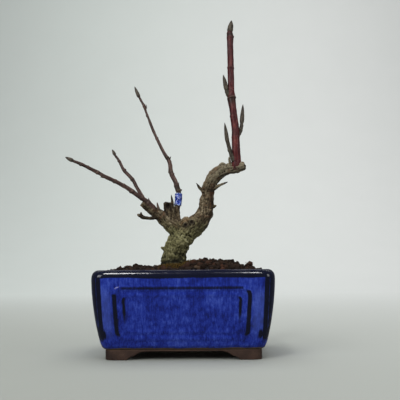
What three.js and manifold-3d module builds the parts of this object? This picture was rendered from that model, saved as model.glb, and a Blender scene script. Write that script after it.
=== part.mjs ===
// A bare winter bonsai in a glazed rectangular pot, in millimetres, +Z up.
// The pot stands on four cloud feet, and is filled with gravel and soil round the roots of the tree.
import * as THREE from "three";
import { mergeVertices } from "three/addons/utils/BufferGeometryUtils.js";
import Module from "manifold-3d";

const wasm = await Module();
wasm.setup();

// Driving dimensions of the pot.
const POT_LENGTH = 142;
const POT_DEPTH = 105;
const POT_HEIGHT = 68;
const RIM_CORNER = 9; // radius of the rim's corners, seen from above
const WALL = 6;
const FRAME_RELIEF = 0.7; // how far the picture-frame mouldings stand out from the walls
const FOOT_HEIGHT = 6.4; // from the stand to the arch between two feet
const BODY_BOTTOM = 7.8; // where the glazed body ends and the bare foot ring begins
const FLOOR_TOP = 14;
const FOOT_SET_IN = 11.4; // foot ring's outer face, measured in from the rim
const FOOT_THICKNESS = 9;
const SLAB_UNDERSIDE = FOOT_HEIGHT + 1.2; // the pot's underside, inside the foot ring
const DRAIN_RADIUS = 7.5;
const DRAIN_OFFSET = 32; // a drain hole each side of the middle
const GAP = 0.3; // clearance between pieces that touch

// Driving dimensions of what the pot holds.
const SCREEN_SIZE = 22;
const SCREEN_THICKNESS = 1;
const CLIP_WIRE = 0.6;
const TIE_WIRE = 0.75;
const GRAVEL_TOP = 24;
const SOIL_EDGE = POT_HEIGHT - 3;

const HALF_LENGTH = POT_LENGTH / 2;
const HALF_DEPTH = POT_DEPTH / 2;

// Solids.

function solidOf(geometry) {
  const plain = geometry.index ? geometry.toNonIndexed() : geometry.clone();
  plain.deleteAttribute("normal");
  plain.deleteAttribute("uv");
  const merged = mergeVertices(plain, 1e-3);
  const mesh = new wasm.Mesh({
    numProp: 3,
    vertProperties: merged.attributes.position.array,
    triVerts: new Uint32Array(merged.index.array),
  });
  return new wasm.Manifold(mesh);
}

const joined = (solids) => solids.reduce((whole, piece) => whole.add(piece));
const largest = (solid) => solid.decompose().sort((a, b) => b.volume() - a.volume())[0];

function meshOf(name, solid, material) {
  const { vertProperties, triVerts } = solid.getMesh();
  const geometry = new THREE.BufferGeometry();
  geometry.setAttribute("position", new THREE.BufferAttribute(new Float32Array(vertProperties), 3));
  geometry.setIndex(new THREE.BufferAttribute(new Uint32Array(triVerts), 1));
  geometry.computeVertexNormals();
  const mesh = new THREE.Mesh(geometry, material);
  mesh.name = name;
  return mesh;
}

// A closed cylinder whose rings are moved to where ring(level, turn) says, both from 0 to 1.
// Its ends are capped flat at the middle of the first and last ring, or where cap(level) says.
function skin(sides, levels, ring, cap) {
  const geometry = new THREE.CylinderGeometry(1, 1, 1, sides, levels);
  const at = geometry.attributes.position;
  for (let i = 0; i < at.count; i++) {
    const level = at.getY(i) + 0.5;
    const turn = (Math.atan2(-at.getZ(i), at.getX(i)) / (2 * Math.PI) + 1) % 1;
    const onRing = Math.hypot(at.getX(i), at.getZ(i)) > 0.5;
    const place = onRing ? ring(level, turn) : cap(level);
    at.setXYZ(i, place.x, place.y, place.z);
  }
  return solidOf(geometry);
}

// A tapering stem through points [x, y, z, radius], grown outwards by grow.
function stem(points, { sides = 8, steps = 3 * points.length, grow = 0 } = {}) {
  const line = new THREE.CatmullRomCurve3(points.map(([x, y, z]) => new THREE.Vector3(x, y, z)));
  const girth = new THREE.CatmullRomCurve3(points.map((p, i) => new THREE.Vector3(i, p[3], 0)));
  const frames = line.computeFrenetFrames(steps, false);
  const middle = (level) => line.getPointAt(level);
  return skin(
    sides,
    steps,
    (level, turn) => {
      const step = Math.round(level * steps);
      const radius = girth.getPoint(line.getUtoTmapping(level)).y + grow;
      const angle = 2 * Math.PI * turn;
      return middle(level)
        .addScaledVector(frames.normals[step], radius * Math.cos(angle))
        .addScaledVector(frames.binormals[step], radius * Math.sin(angle));
    },
    middle,
  );
}

const ball = (x, y, z, radius, grow = 0) =>
  solidOf(new THREE.IcosahedronGeometry(radius + grow, 1).translate(x, y, z));

// A point of a rectangle with round corners; turn runs once round it from 0 to 1.
function onRectangle(turn, halfLength, halfDepth, corner, z) {
  const quarter = Math.floor(turn * 4) % 4;
  const angle = ((quarter + CORNER_SHARE(turn * 4 - Math.floor(turn * 4))) * Math.PI) / 2;
  const signX = quarter === 0 || quarter === 3 ? 1 : -1;
  const signY = quarter < 2 ? 1 : -1;
  return new THREE.Vector3(
    signX * (halfLength - corner) + corner * Math.cos(angle),
    signY * (halfDepth - corner) + corner * Math.sin(angle),
    z,
  );
}
// Each quarter of the ring is one corner's arc, and the straight sides join the corners.
const CORNER_SHARE = (share) => THREE.MathUtils.clamp(share * RING_SHARE, 0, 1);
const RING_SIDES = 28;
const RING_SHARE = RING_SIDES / 4 / (RING_SIDES / 4 - 1);

// The pot.

// How far the outer wall stands in from the rim's widest line at a height:
// a slow curve, then the round underside.
function wallInset(z) {
  const below = Math.max(0, POT_HEIGHT - 3 - z);
  const belly = 0.0024 * below * below;
  const heel = Math.max(0, 11.5 - z);
  const lip = Math.max(0, z - (POT_HEIGHT - 2.5));
  return belly + 0.2 * heel * heel + 0.35 * lip * lip;
}

function potLoft(bottom, top, levels, inset, corner) {
  const height = (level) => bottom + (top - bottom) * level;
  return skin(
    RING_SIDES,
    levels,
    (level, turn) => {
      const z = height(level);
      const set = inset(z);
      return onRectangle(turn, HALF_LENGTH - set, HALF_DEPTH - set, Math.max(corner - set / 2, 2), z);
    },
    (level) => new THREE.Vector3(0, 0, height(level)),
  );
}

const potInside = (bottom, top, levels, shrink = 0) =>
  potLoft(bottom, top, levels, (z) => wallInset(Math.min(z, POT_HEIGHT - 3)) + WALL + shrink, RIM_CORNER - 2);

function roundedOutline(length, height, corner, Kind = THREE.Shape) {
  const outline = new Kind();
  const x = length / 2;
  const y = height / 2;
  outline.absarc(x - corner, y - corner, corner, 0, Math.PI / 2);
  outline.absarc(-x + corner, y - corner, corner, Math.PI / 2, Math.PI);
  outline.absarc(-x + corner, -y + corner, corner, Math.PI, 1.5 * Math.PI);
  outline.absarc(x - corner, -y + corner, corner, 1.5 * Math.PI, 2 * Math.PI);
  outline.closePath();
  return outline;
}

// A raised picture-frame moulding on each face: a ring through the pot, kept to just over the wall's surface.
function frameMouldings() {
  const raised = potLoft(BODY_BOTTOM, POT_HEIGHT - 8, 12, (z) => wallInset(z) - FRAME_RELIEF, RIM_CORNER);
  const [top, bottom] = [POT_HEIGHT - 14.5, 15.5];
  const ringFor = (length) => {
    const ring = roundedOutline(length, top - bottom, 6);
    ring.holes.push(roundedOutline(length - 8, top - bottom - 6, 4, THREE.Path));
    const depth = 2 * POT_LENGTH;
    const geometry = new THREE.ExtrudeGeometry(ring, { depth, bevelEnabled: false, curveSegments: 4 });
    return geometry.translate(0, 0, -depth / 2).rotateX(Math.PI / 2).translate(0, 0, (top + bottom) / 2);
  };
  const long = solidOf(ringFor(POT_LENGTH - 35));
  const short = solidOf(ringFor(POT_DEPTH - 35).rotateZ(Math.PI / 2));
  return raised.intersect(long.add(short));
}

// The bare clay ring under the body, arched away between the feet on all four sides.
function footRing() {
  const ringAt = (inset, bottom, top, corner) =>
    potLoft(bottom, top, 1, () => inset, corner + inset / 2);
  const ring = ringAt(FOOT_SET_IN, 0, BODY_BOTTOM + 1, 7)
    .subtract(ringAt(FOOT_SET_IN + FOOT_THICKNESS, -1, SLAB_UNDERSIDE, 3));
  const archBetween = (halfSpan) => {
    const arch = new THREE.Shape();
    arch.moveTo(-halfSpan, -1);
    arch.lineTo(-halfSpan, 0);
    arch.bezierCurveTo(-halfSpan + 4, 4.5, -halfSpan + 9, 3, -halfSpan + 14, FOOT_HEIGHT);
    arch.lineTo(halfSpan - 14, FOOT_HEIGHT);
    arch.bezierCurveTo(halfSpan - 9, 3, halfSpan - 4, 4.5, halfSpan, 0);
    arch.lineTo(halfSpan, -1);
    const depth = 2 * POT_LENGTH;
    return new THREE.ExtrudeGeometry(arch, { depth, bevelEnabled: false, curveSegments: 6 })
      .translate(0, 0, -depth / 2)
      .rotateX(Math.PI / 2);
  };
  const footLength = 17;
  return ring
    .subtract(solidOf(archBetween(HALF_LENGTH - FOOT_SET_IN - footLength)))
    .subtract(solidOf(archBetween(HALF_DEPTH - FOOT_SET_IN - footLength).rotateZ(Math.PI / 2)));
}

const drainHoles = () =>
  [-DRAIN_OFFSET, DRAIN_OFFSET].map((x) =>
    solidOf(
      new THREE.CylinderGeometry(DRAIN_RADIUS, DRAIN_RADIUS, 40, 20).rotateX(Math.PI / 2).translate(x, 0, 0),
    ),
  );

function pot() {
  const body = potLoft(BODY_BOTTOM, POT_HEIGHT, 16, wallInset, RIM_CORNER);
  const hollow = potInside(FLOOR_TOP, POT_HEIGHT + 1, 8);
  const outside = joined([body, frameMouldings(), footRing()]);
  return drainHoles().reduce((left, hole) => left.subtract(hole), outside.subtract(hollow));
}

// What lies in the pot under the tree.

const boxAt = (x, y, z, length, depth, height) =>
  solidOf(new THREE.BoxGeometry(length, depth, height).translate(x, y, z));

// A square of plastic netting over a drain hole: a plate pierced by a grid of square openings.
function screen(side, grow = 0) {
  const x = side * DRAIN_OFFSET;
  const z = FLOOR_TOP + GAP + SCREEN_THICKNESS / 2;
  const plate = boxAt(x, 0, z, SCREEN_SIZE + 2 * grow, SCREEN_SIZE + 2 * grow, SCREEN_THICKNESS + 2 * grow);
  if (grow) return plate;
  const pitch = 4;
  const rows = [-2, -1, 0, 1, 2];
  const openings = rows.flatMap((i) => rows.map((j) => boxAt(x + i * pitch, j * pitch, z, 2.6, 2.6, 4)));
  return plate.subtract(joined(openings));
}

// A wire staple that holds the netting: over it, down the drain hole, and bent out under the pot's floor.
function clip(side, grow = 0) {
  const x = side * DRAIN_OFFSET;
  const over = FLOOR_TOP + GAP + SCREEN_THICKNESS + GAP + CLIP_WIRE;
  const under = SLAB_UNDERSIDE - GAP - CLIP_WIRE;
  const legs = DRAIN_RADIUS - GAP - CLIP_WIRE - 0.7;
  const route = [
    [x, -legs - 6, under],
    [x, -legs - 1.5, under],
    [x, -legs, under + 1.5],
    [x, -legs, over - 1.5],
    [x, -legs + 1.5, over],
    [x, legs - 1.5, over],
    [x, legs, over - 1.5],
    [x, legs, under + 1.5],
    [x, legs + 1.5, under],
    [x, legs + 6, under],
  ];
  return stem(route.map((p) => [...p, CLIP_WIRE]), { sides: 6, steps: 36, grow });
}

// The wire that ties the root ball down: under the pot, up both drain holes and over the roots.
function tieWire(grow = 0) {
  const under = SLAB_UNDERSIDE - GAP - TIE_WIRE;
  const leg = DRAIN_OFFSET - 3;
  const half = (side) => [
    [side * 5, -19 + side * 1.5, 62],
    [side * 18, -19 + side, 60],
    [side * 27, -12, 50],
    [side * leg, 0, 34],
    [side * leg, 0, 12],
    [side * leg, 0, under + 2.5],
    [side * (leg - 2.5), 0, under],
    [side * (leg - 8), 0, under],
    [side * 8, 0, under],
  ];
  const route = [...half(-1), ...half(1).reverse()];
  return stem(route.map((p) => [...p, TIE_WIRE]), { sides: 6, steps: 60, grow });
}

// The tree, placed from the middle of the pot. Each point is [x, y, z, radius].

const TRUNK = [
  [-12, 1, 52, 11.5],
  [-10.8, 1, 64, 11.2],
  [-9.8, 0, 74, 10.3],
  [-8, 0, 85, 9.9],
  [-3, 0, 95, 10.2],
  [2, 0.5, 102, 10.5],
  [7, 1, 107, 9.5],
];
const LIMB = [
  [1, 0.5, 100, 10],
  [8, 1.5, 105, 9.2],
  [14.9, 3, 112, 7.8],
  [17.8, 5, 121, 6.4],
  [19.1, 6, 131, 5.4],
  [20.2, 6, 138, 5.5],
  [23.6, 5, 145, 6],
  [28.4, 3, 150.2, 5.9],
  [34, 0, 153, 5.2],
  [41, -3, 153.8, 4.7],
  [47, -5, 154.4, 4.2],
  [51, -6, 155.3, 3.4],
];
const BRANCH = [
  [-3, 0, 99, 8.4],
  [-9.5, -0.5, 104, 7.5],
  [-15.6, -2, 109.3, 6.2],
  [-22, -4, 114.6, 4.9],
  [-27.8, -6, 118.6, 4.2],
  [-31.6, -8, 121.4, 3.7],
  [-34.6, -9, 124.3, 3.1],
];
const STUMP = [
  [-9.5, 0, 104, 6.8],
  [-12.4, -1.5, 112, 5.2],
  [-13.4, -2.5, 119, 4.5],
  [-13.8, -3, 125.2, 4.2],
];
const COLLAR = [
  [-8.5, 1, 104, 6],
  [-8, 2.6, 112.5, 4.3],
  [-6.8, 3, 120.2, 2.5],
];
const DEAD_STUBS = {
  left: [
    [-23, -4.6, 112.4, 2],
    [-28, -8, 111.2, 1.5],
    [-32.4, -11, 111.4, 1.3],
    [-35.8, -13.4, 112.6, 1.9],
    [-37.4, -14, 114, 0.9],
  ],
  inner: [[16.5, 4, 134.8, 2.3], [13.4, 3, 136.9, 1.5], [9.7, 1, 141.8, 0.6]],
  outer: [[24, 4, 137.2, 2.6], [29, 2, 139.5, 1.7], [33, 1, 141, 1.2], [36.9, 0, 142.6, 0.7]],
  collar: [[-10.7, 0, 121, 1.7], [-10.8, 0, 126, 1.2], [-11.6, -1, 132.4, 0.4]],
};
// Healed cuts and burrs: [x, y, z, radius].
const BURRS = [
  [32, 1, 157.6, 2.8],
  [-17.6, -1, 86, 2],
  [24.6, 4, 122, 2.1],
  [21.4, 3, 114.6, 2.6],
  [51.2, -6, 155.4, 3.3],
  [0.8, -8.4, 105.2, 2.3],
  [6, -7.6, 107.6, 2.3],
];
const ROOTS = [
  { heading: 200, reach: 34, drop: 20, radius: 4.4 },
  { heading: 262, reach: 24, drop: 17, radius: 3.8 },
  { heading: 325, reach: 38, drop: 18, radius: 4.2 },
  { heading: 30, reach: 40, drop: 22, radius: 4.4 },
  { heading: 95, reach: 26, drop: 19, radius: 3.9 },
  { heading: 150, reach: 32, drop: 24, radius: 4 },
];

function root({ heading, reach, drop, radius }) {
  const angle = THREE.MathUtils.degToRad(heading);
  const [x, y, z] = TRUNK[1];
  const along = (share, fall, r) => [
    x + share * reach * Math.cos(angle),
    y + share * reach * Math.sin(angle),
    z - fall * drop - 3,
    r,
  ];
  return [
    along(0.1, 0, radius + 1.5),
    along(0.35, 0.15, radius),
    along(0.65, 0.45, radius * 0.65),
    along(1, 1, radius * 0.3),
  ];
}

function trunk(grow = 0) {
  const thick = (points, sides) => stem(points, { sides, steps: 2 * points.length, grow });
  return joined([
    thick(TRUNK, 16),
    thick(LIMB, 12),
    thick(BRANCH, 11),
    thick(STUMP, 10),
    thick(COLLAR, 9),
    ...Object.values(DEAD_STUBS).map((points) => thick(points, 7)),
    ...BURRS.map(([x, y, z, radius]) => ball(x, y, z, radius, grow)),
    ...ROOTS.map((each) => thick(root(each), 7)),
  ]);
}

const SHOOTS = {
  middle_shoot: [
    [-6.8, 3, 120.5, 2.2],
    [-5.8, 3.6, 128, 2.2],
    [-5.5, 4, 133.8, 2.3],
    [-7, 5, 139.4, 2.4],
    [-12, 8, 151.3, 2],
    [-13.6, 10, 161.2, 1.8],
    [-16.6, 12, 167, 1.6],
    [-26.5, 17, 186.8, 1.35],
    [-35.4, 22, 209.4, 1.2],
    [-38, 23, 217, 1.35],
    [-42.4, 24, 224.9, 1],
  ],
  left_long_shoot: [
    [-29, -9.4, 122.6, 2.4],
    [-32.4, -10, 125.6, 2.2],
    [-37.6, -11, 129, 2],
    [-51.4, -14, 138.4, 1.8],
    [-65.8, -18, 145.4, 1.6],
    [-79.3, -22, 152.5, 1.35],
    [-91, -25, 157.6, 1.2],
  ],
  left_short_shoot: [
    [-36.3, -9, 131.8, 1.9],
    [-39.6, -7, 136.2, 1.7],
    [-44.8, -5, 145.2, 1.6],
    [-52, -3, 153.2, 1.45],
    [-57, -1, 162.5, 1.25],
    [-60.4, 0, 167, 1.1],
  ],
  leader_shoot: [
    [44.1, -4, 154.5, 4.7],
    [44.1, -5, 161, 4],
    [43.9, -6, 169, 3.65],
    [43.6, -7, 187, 3.35],
    [41.7, -7, 205, 3.2],
    [40.6, -6, 215.4, 3.7],
    [40.5, -5.6, 220, 2.95],
    [40.5, -4, 242, 2.85],
    [40.4, -3, 258, 2.8],
    [40.4, -2, 270.5, 2.9],
    [40.2, -2, 275.2, 2.2],
  ],
};
const SPURS = {
  leader_upper_spur: [
    [38.6, -6.3, 214.8, 1.9],
    [36.4, -6.8, 221.4, 1.9],
    [35, -7.4, 228, 1.6],
    [33.8, -8, 234.6, 0.2],
  ],
  leader_right_spur: [
    [45.8, -6, 181, 1.8],
    [48.2, -5.2, 186.5, 1.8],
    [49.5, -4, 195, 1.6],
    [50.2, -3, 203, 1.3],
    [50.7, -2, 210, 0.2],
  ],
  leader_left_spur: [
    [41.8, -7, 158.6, 2],
    [39, -8.2, 165.5, 1.9],
    [37.5, -9.4, 172, 1.7],
    [35.2, -12, 185, 1.4],
    [34.3, -13, 191.2, 0.2],
  ],
};
const BUDS = {
  leader_terminal_bud: [
    [40.2, -2, 275.6, 2.1],
    [40.3, -2, 278.6, 2.4],
    [41.2, -2, 282.4, 1.5],
    [41.9, -2, 285.8, 0.2],
  ],
  middle_terminal_bud: [
    [-42.7, 24.1, 225.5, 0.9],
    [-44, 24.6, 228.6, 1.4],
    [-45.6, 25.4, 232.4, 1.1],
    [-46.9, 26, 235.8, 0.2],
  ],
  left_long_terminal_bud: [
    [-91.7, -25.1, 157.9, 1.1],
    [-93, -25.4, 158.5, 1.4],
    [-94.9, -25.8, 159.4, 1.2],
    [-97, -26, 160.5, 0.3],
  ],
  left_short_terminal_bud: [
    [-60.7, 0.1, 167.5, 1],
    [-61.4, 0.4, 168.9, 1.2],
    [-62.2, 0.8, 170.5, 0.9],
    [-62.8, 1, 172, 0.2],
  ],
};
const TAPE = { from: 0.021, to: 0.118, thickness: 0.45 };

// A band wound round the foot of the middle shoot, between two shares of its length.
function markerTape() {
  const points = SHOOTS.middle_shoot;
  const line = new THREE.CatmullRomCurve3(points.map(([x, y, z]) => new THREE.Vector3(x, y, z)));
  const band = (radius, margin) =>
    stem(
      [0, 0.25, 0.5, 0.75, 1].map((share) => {
        const u = TAPE.from - margin + share * (TAPE.to - TAPE.from + 2 * margin);
        const { x, y, z } = line.getPointAt(Math.max(u, 0));
        return [x, y, z, radius];
      }),
      { sides: 12 },
    );
  const inside = 2.35 + GAP;
  return band(inside + TAPE.thickness, 0).subtract(band(inside, 0.015));
}

const SOIL_DOME = 5.4;
const SOIL_HEAP = { height: 4.4, from: -2, full: 7, falls: 37, ends: 52 };

// Granules, domed over the pot and heaped up to the right of the trunk.
function soilHeight(x, y) {
  const u = Math.min(Math.abs(x) / (HALF_LENGTH - WALL), 1);
  const v = Math.min(Math.abs(y) / (HALF_DEPTH - WALL), 1);
  const { height, from, full, falls, ends } = SOIL_HEAP;
  const climb = THREE.MathUtils.clamp((x - from) / (full - from), 0, 1);
  const drop = THREE.MathUtils.smoothstep(x, falls, ends);
  const dome = SOIL_DOME * (1 - u ** 2.4) ** 0.6 * Math.sqrt(1 - v * v);
  const heap = height * climb * (2 - climb) * (1 - drop) * (1 - v ** 4);
  const lumps = 0.5 * Math.sin(0.71 * x + 1.3 * Math.sin(0.37 * y)) * Math.cos(0.63 * y);
  return SOIL_EDGE + dome + heap + lumps;
}

function heapedSoil() {
  const sideLevels = 3;
  const topRings = 7;
  const levels = sideLevels + topRings;
  const bottom = GRAVEL_TOP + GAP;
  return skin(
    RING_SIDES,
    levels,
    (level, turn) => {
      const step = Math.round(level * levels);
      const up = Math.min(step / sideLevels, 1);
      const z = bottom + up * (SOIL_EDGE - bottom);
      const inset = wallInset(z) + WALL + GAP;
      const rim = onRectangle(turn, HALF_LENGTH - inset, HALF_DEPTH - inset, RIM_CORNER - 2 - inset / 2, z);
      const inward = Math.max(0, step - sideLevels) / (topRings + 0.6);
      const x = rim.x * (1 - inward);
      const y = rim.y * (1 - inward);
      return new THREE.Vector3(x, y, inward > 0 ? soilHeight(x, y) : rim.z);
    },
    (level) => new THREE.Vector3(0, 0, level > 0.5 ? soilHeight(0, 0) : bottom),
  );
}

function soil() {
  return largest([trunk(GAP), tieWire(GAP)].reduce((left, piece) => left.subtract(piece), heapedSoil()));
}

function gravel() {
  const bed = potInside(FLOOR_TOP + GAP, GRAVEL_TOP, 2, GAP);
  const others = [screen(-1, GAP), screen(1, GAP), clip(-1, GAP), clip(1, GAP), tieWire(GAP), trunk(GAP)];
  return largest(others.reduce((left, piece) => left.subtract(piece), bed));
}

const MOSS_DOME = { x: -8, y: -23, reach: [13, 15, 4.5], sunk: 1.5 };

// A cushion of moss against the front of the trunk, just above the soil.
function moss() {
  const { x, y, reach, sunk } = MOSS_DOME;
  const dome = new THREE.SphereGeometry(1, 16, 8).scale(...reach).translate(x, y, soilHeight(x, y) - sunk);
  const overSoil = heapedSoil().translate([0, 0, GAP]);
  return largest(solidOf(dome).subtract(overSoil).subtract(trunk(GAP)));
}

// Materials.

const finish = (color, roughness, metalness = 0) =>
  new THREE.MeshStandardMaterial({ color, roughness, metalness });
const GLAZE = finish(0x24388f, 0.12);
const NETTING = finish(0x1c1e1d, 0.6);
const WIRE = finish(0x8d7f6c, 0.45, 0.9);
const GRAVEL = finish(0x8f7a63, 0.95);
const SOIL = finish(0x4a3324, 0.95);
const MOSS = finish(0x57481f, 0.95);
const BARK = finish(0x6a6047, 0.85);
const TWIG = finish(0x5b3a34, 0.6);
const RED_SHOOT = finish(0x63242a, 0.4);
const BUD = finish(0x4b463e, 0.6);
const FILM = finish(0x2148d8, 0.2);

// The whole, with its origin under the middle of its own box, on the plane that the feet stand on.

const bonsai = new THREE.Group();
const add = (name, solid, material) => bonsai.add(meshOf(name, solid, material));

add("pot", pot(), GLAZE);
for (const [word, side] of [["left", -1], ["right", 1]]) {
  const netting = largest(screen(side).subtract(tieWire(GAP)).subtract(clip(side, GAP)));
  add(`drain_screen_${word}`, netting, NETTING);
  add(`screen_clip_${word}`, clip(side), WIRE);
}
add("tie_down_wire", tieWire(), WIRE);
add("drainage_gravel", gravel(), GRAVEL);
add("soil", soil(), SOIL);
add("moss_pad", moss(), MOSS);
add("trunk", trunk(), BARK);

const clearOf = (solid, others) => largest(others.reduce((left, other) => left.subtract(other), solid));
const shoot = (name, grow = 0) => stem(SHOOTS[name], { grow, steps: 2 * SHOOTS[name].length });
for (const name of Object.keys(SHOOTS)) {
  const neighbours = [trunk(GAP)];
  if (name === "left_short_shoot") neighbours.push(shoot("left_long_shoot", GAP));
  add(name, clearOf(shoot(name), neighbours), name === "leader_shoot" ? RED_SHOOT : TWIG);
}
for (const [name, points] of Object.entries(SPURS)) {
  add(name, clearOf(stem(points, { sides: 7, steps: 9 }), [shoot("leader_shoot", GAP), trunk(GAP)]), BUD);
}
for (const [name, points] of Object.entries(BUDS)) {
  const parent = shoot(name.replace("terminal_bud", "shoot"), GAP);
  add(name, clearOf(stem(points, { sides: 7, steps: 6 }), [parent]), BUD);
}
add("marker_tape", clearOf(markerTape(), [trunk(GAP)]), FILM);

const middle = new THREE.Box3().setFromObject(bonsai).getCenter(new THREE.Vector3());
bonsai.position.set(-middle.x, -middle.y, 0);

export default bonsai;
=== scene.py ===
"""A bare winter bonsai in a blue glazed pot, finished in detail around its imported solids."""

import math
import random

import bmesh
import bpy
import numpy as np
from mathutils import Euler, Matrix, Vector, geometry, kdtree, noise


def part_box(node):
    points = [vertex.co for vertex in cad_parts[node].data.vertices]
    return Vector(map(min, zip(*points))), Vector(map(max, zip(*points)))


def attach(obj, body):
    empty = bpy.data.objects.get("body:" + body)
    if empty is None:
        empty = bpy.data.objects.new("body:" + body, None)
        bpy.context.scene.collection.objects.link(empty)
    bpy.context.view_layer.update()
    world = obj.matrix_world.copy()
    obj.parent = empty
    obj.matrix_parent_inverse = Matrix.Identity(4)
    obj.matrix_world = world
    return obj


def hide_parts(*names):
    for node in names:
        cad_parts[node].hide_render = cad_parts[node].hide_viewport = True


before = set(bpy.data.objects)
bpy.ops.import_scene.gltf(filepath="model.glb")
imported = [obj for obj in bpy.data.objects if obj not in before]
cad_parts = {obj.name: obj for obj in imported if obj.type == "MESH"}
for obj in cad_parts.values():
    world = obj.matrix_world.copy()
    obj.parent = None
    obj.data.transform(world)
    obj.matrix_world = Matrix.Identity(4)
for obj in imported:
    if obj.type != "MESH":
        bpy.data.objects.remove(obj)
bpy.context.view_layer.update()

MM = 0.001
pot_low, pot_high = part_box("pot")
POT_FOOT = Vector(((pot_low[0] + pot_high[0]) / 2, (pot_low[1] + pot_high[1]) / 2, pot_low[2]))


def place(x, y, z):
    """A point in millimetres from the middle of the plane under the pot's feet."""
    return POT_FOOT + Vector((x, y, z)) * MM


# Camera, lights and world

EYE = (21, -508, 66.5)
TILT, TURN, ROLL = 6.795, 0.917, -0.45
camera_data = bpy.data.cameras.new("camera")
camera_data.lens = 54
camera_data.sensor_width = 36
camera_data.clip_start = 0.01
camera = bpy.data.objects.new("camera", camera_data)
bpy.context.scene.collection.objects.link(camera)
looking = Euler((math.radians(90 + TILT), 0, math.radians(TURN))).to_matrix().to_4x4()
rolled = looking @ Matrix.Rotation(math.radians(ROLL), 4, "Z")
camera.matrix_world = Matrix.Translation(place(*EYE)) @ rolled
bpy.context.scene.camera = camera
bpy.context.scene.view_settings.view_transform = "Standard"


def softbox(name, at, towards, width, height, watts):
    """A soft rectangular light at one place, turned towards another."""
    data = bpy.data.lights.new(name, "AREA")
    data.shape = "RECTANGLE"
    data.size = width
    data.size_y = height
    data.energy = watts
    light = bpy.data.objects.new(name, data)
    bpy.context.scene.collection.objects.link(light)
    light.location = place(*at)
    light.rotation_euler = (place(*towards) - light.location).to_track_quat("-Z", "Y").to_euler()
    return light


# Each light's name, place, aim, width, height and watts.
softbox("ceiling", (0, 60, 1100), (0, 20, 60), 1.3, 0.9, 8).visible_glossy = False
softbox("front_left", (-700, -900, 620), (0, 0, 110), 0.7, 0.5, 5.5)
softbox("front_right", (850, -700, 500), (0, 0, 110), 0.4, 0.5, 2.2)
softbox("window_left", (-236, -700, 1070), (-40, -50, 66), 0.11, 0.25, 2.6)
softbox("window_right", (143, -700, 1070), (50, -50, 66), 0.04, 0.25, 1.0)
softbox("wall_wash", (150, 1100, 1900), (120, 3000, 300), 2.8, 0.8, 38)

world = bpy.data.worlds.new("room")
bpy.context.scene.world = world
world.use_nodes = True
world.node_tree.nodes["Background"].inputs["Color"].default_value = (0.93, 0.97, 1.0, 1)
world.node_tree.nodes["Background"].inputs["Strength"].default_value = 0.13


# Shaders


def shade(red, green, blue):
    """A colour given as 0 to 255 on a screen, as the linear colour a shader takes."""

    def linear(value):
        value /= 255
        return value / 12.92 if value <= 0.04045 else ((value + 0.055) / 1.055) ** 2.4

    return (linear(red), linear(green), linear(blue), 1.0)


class Flow:
    """A node's output that sums and products can be written with."""

    def __init__(self, finish, socket):
        self.finish = finish
        self.socket = socket

    def __add__(self, other):
        return self.finish.maths("ADD", self, other)

    __radd__ = __add__

    def __sub__(self, other):
        return self.finish.maths("SUBTRACT", self, other)

    def __rsub__(self, other):
        return self.finish.maths("SUBTRACT", other, self)

    def __mul__(self, other):
        return self.finish.maths("MULTIPLY", self, other)

    __rmul__ = __mul__

    def __truediv__(self, other):
        return self.finish.maths("DIVIDE", self, other)

    def __pow__(self, other):
        return self.finish.maths("POWER", self, other)


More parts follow.
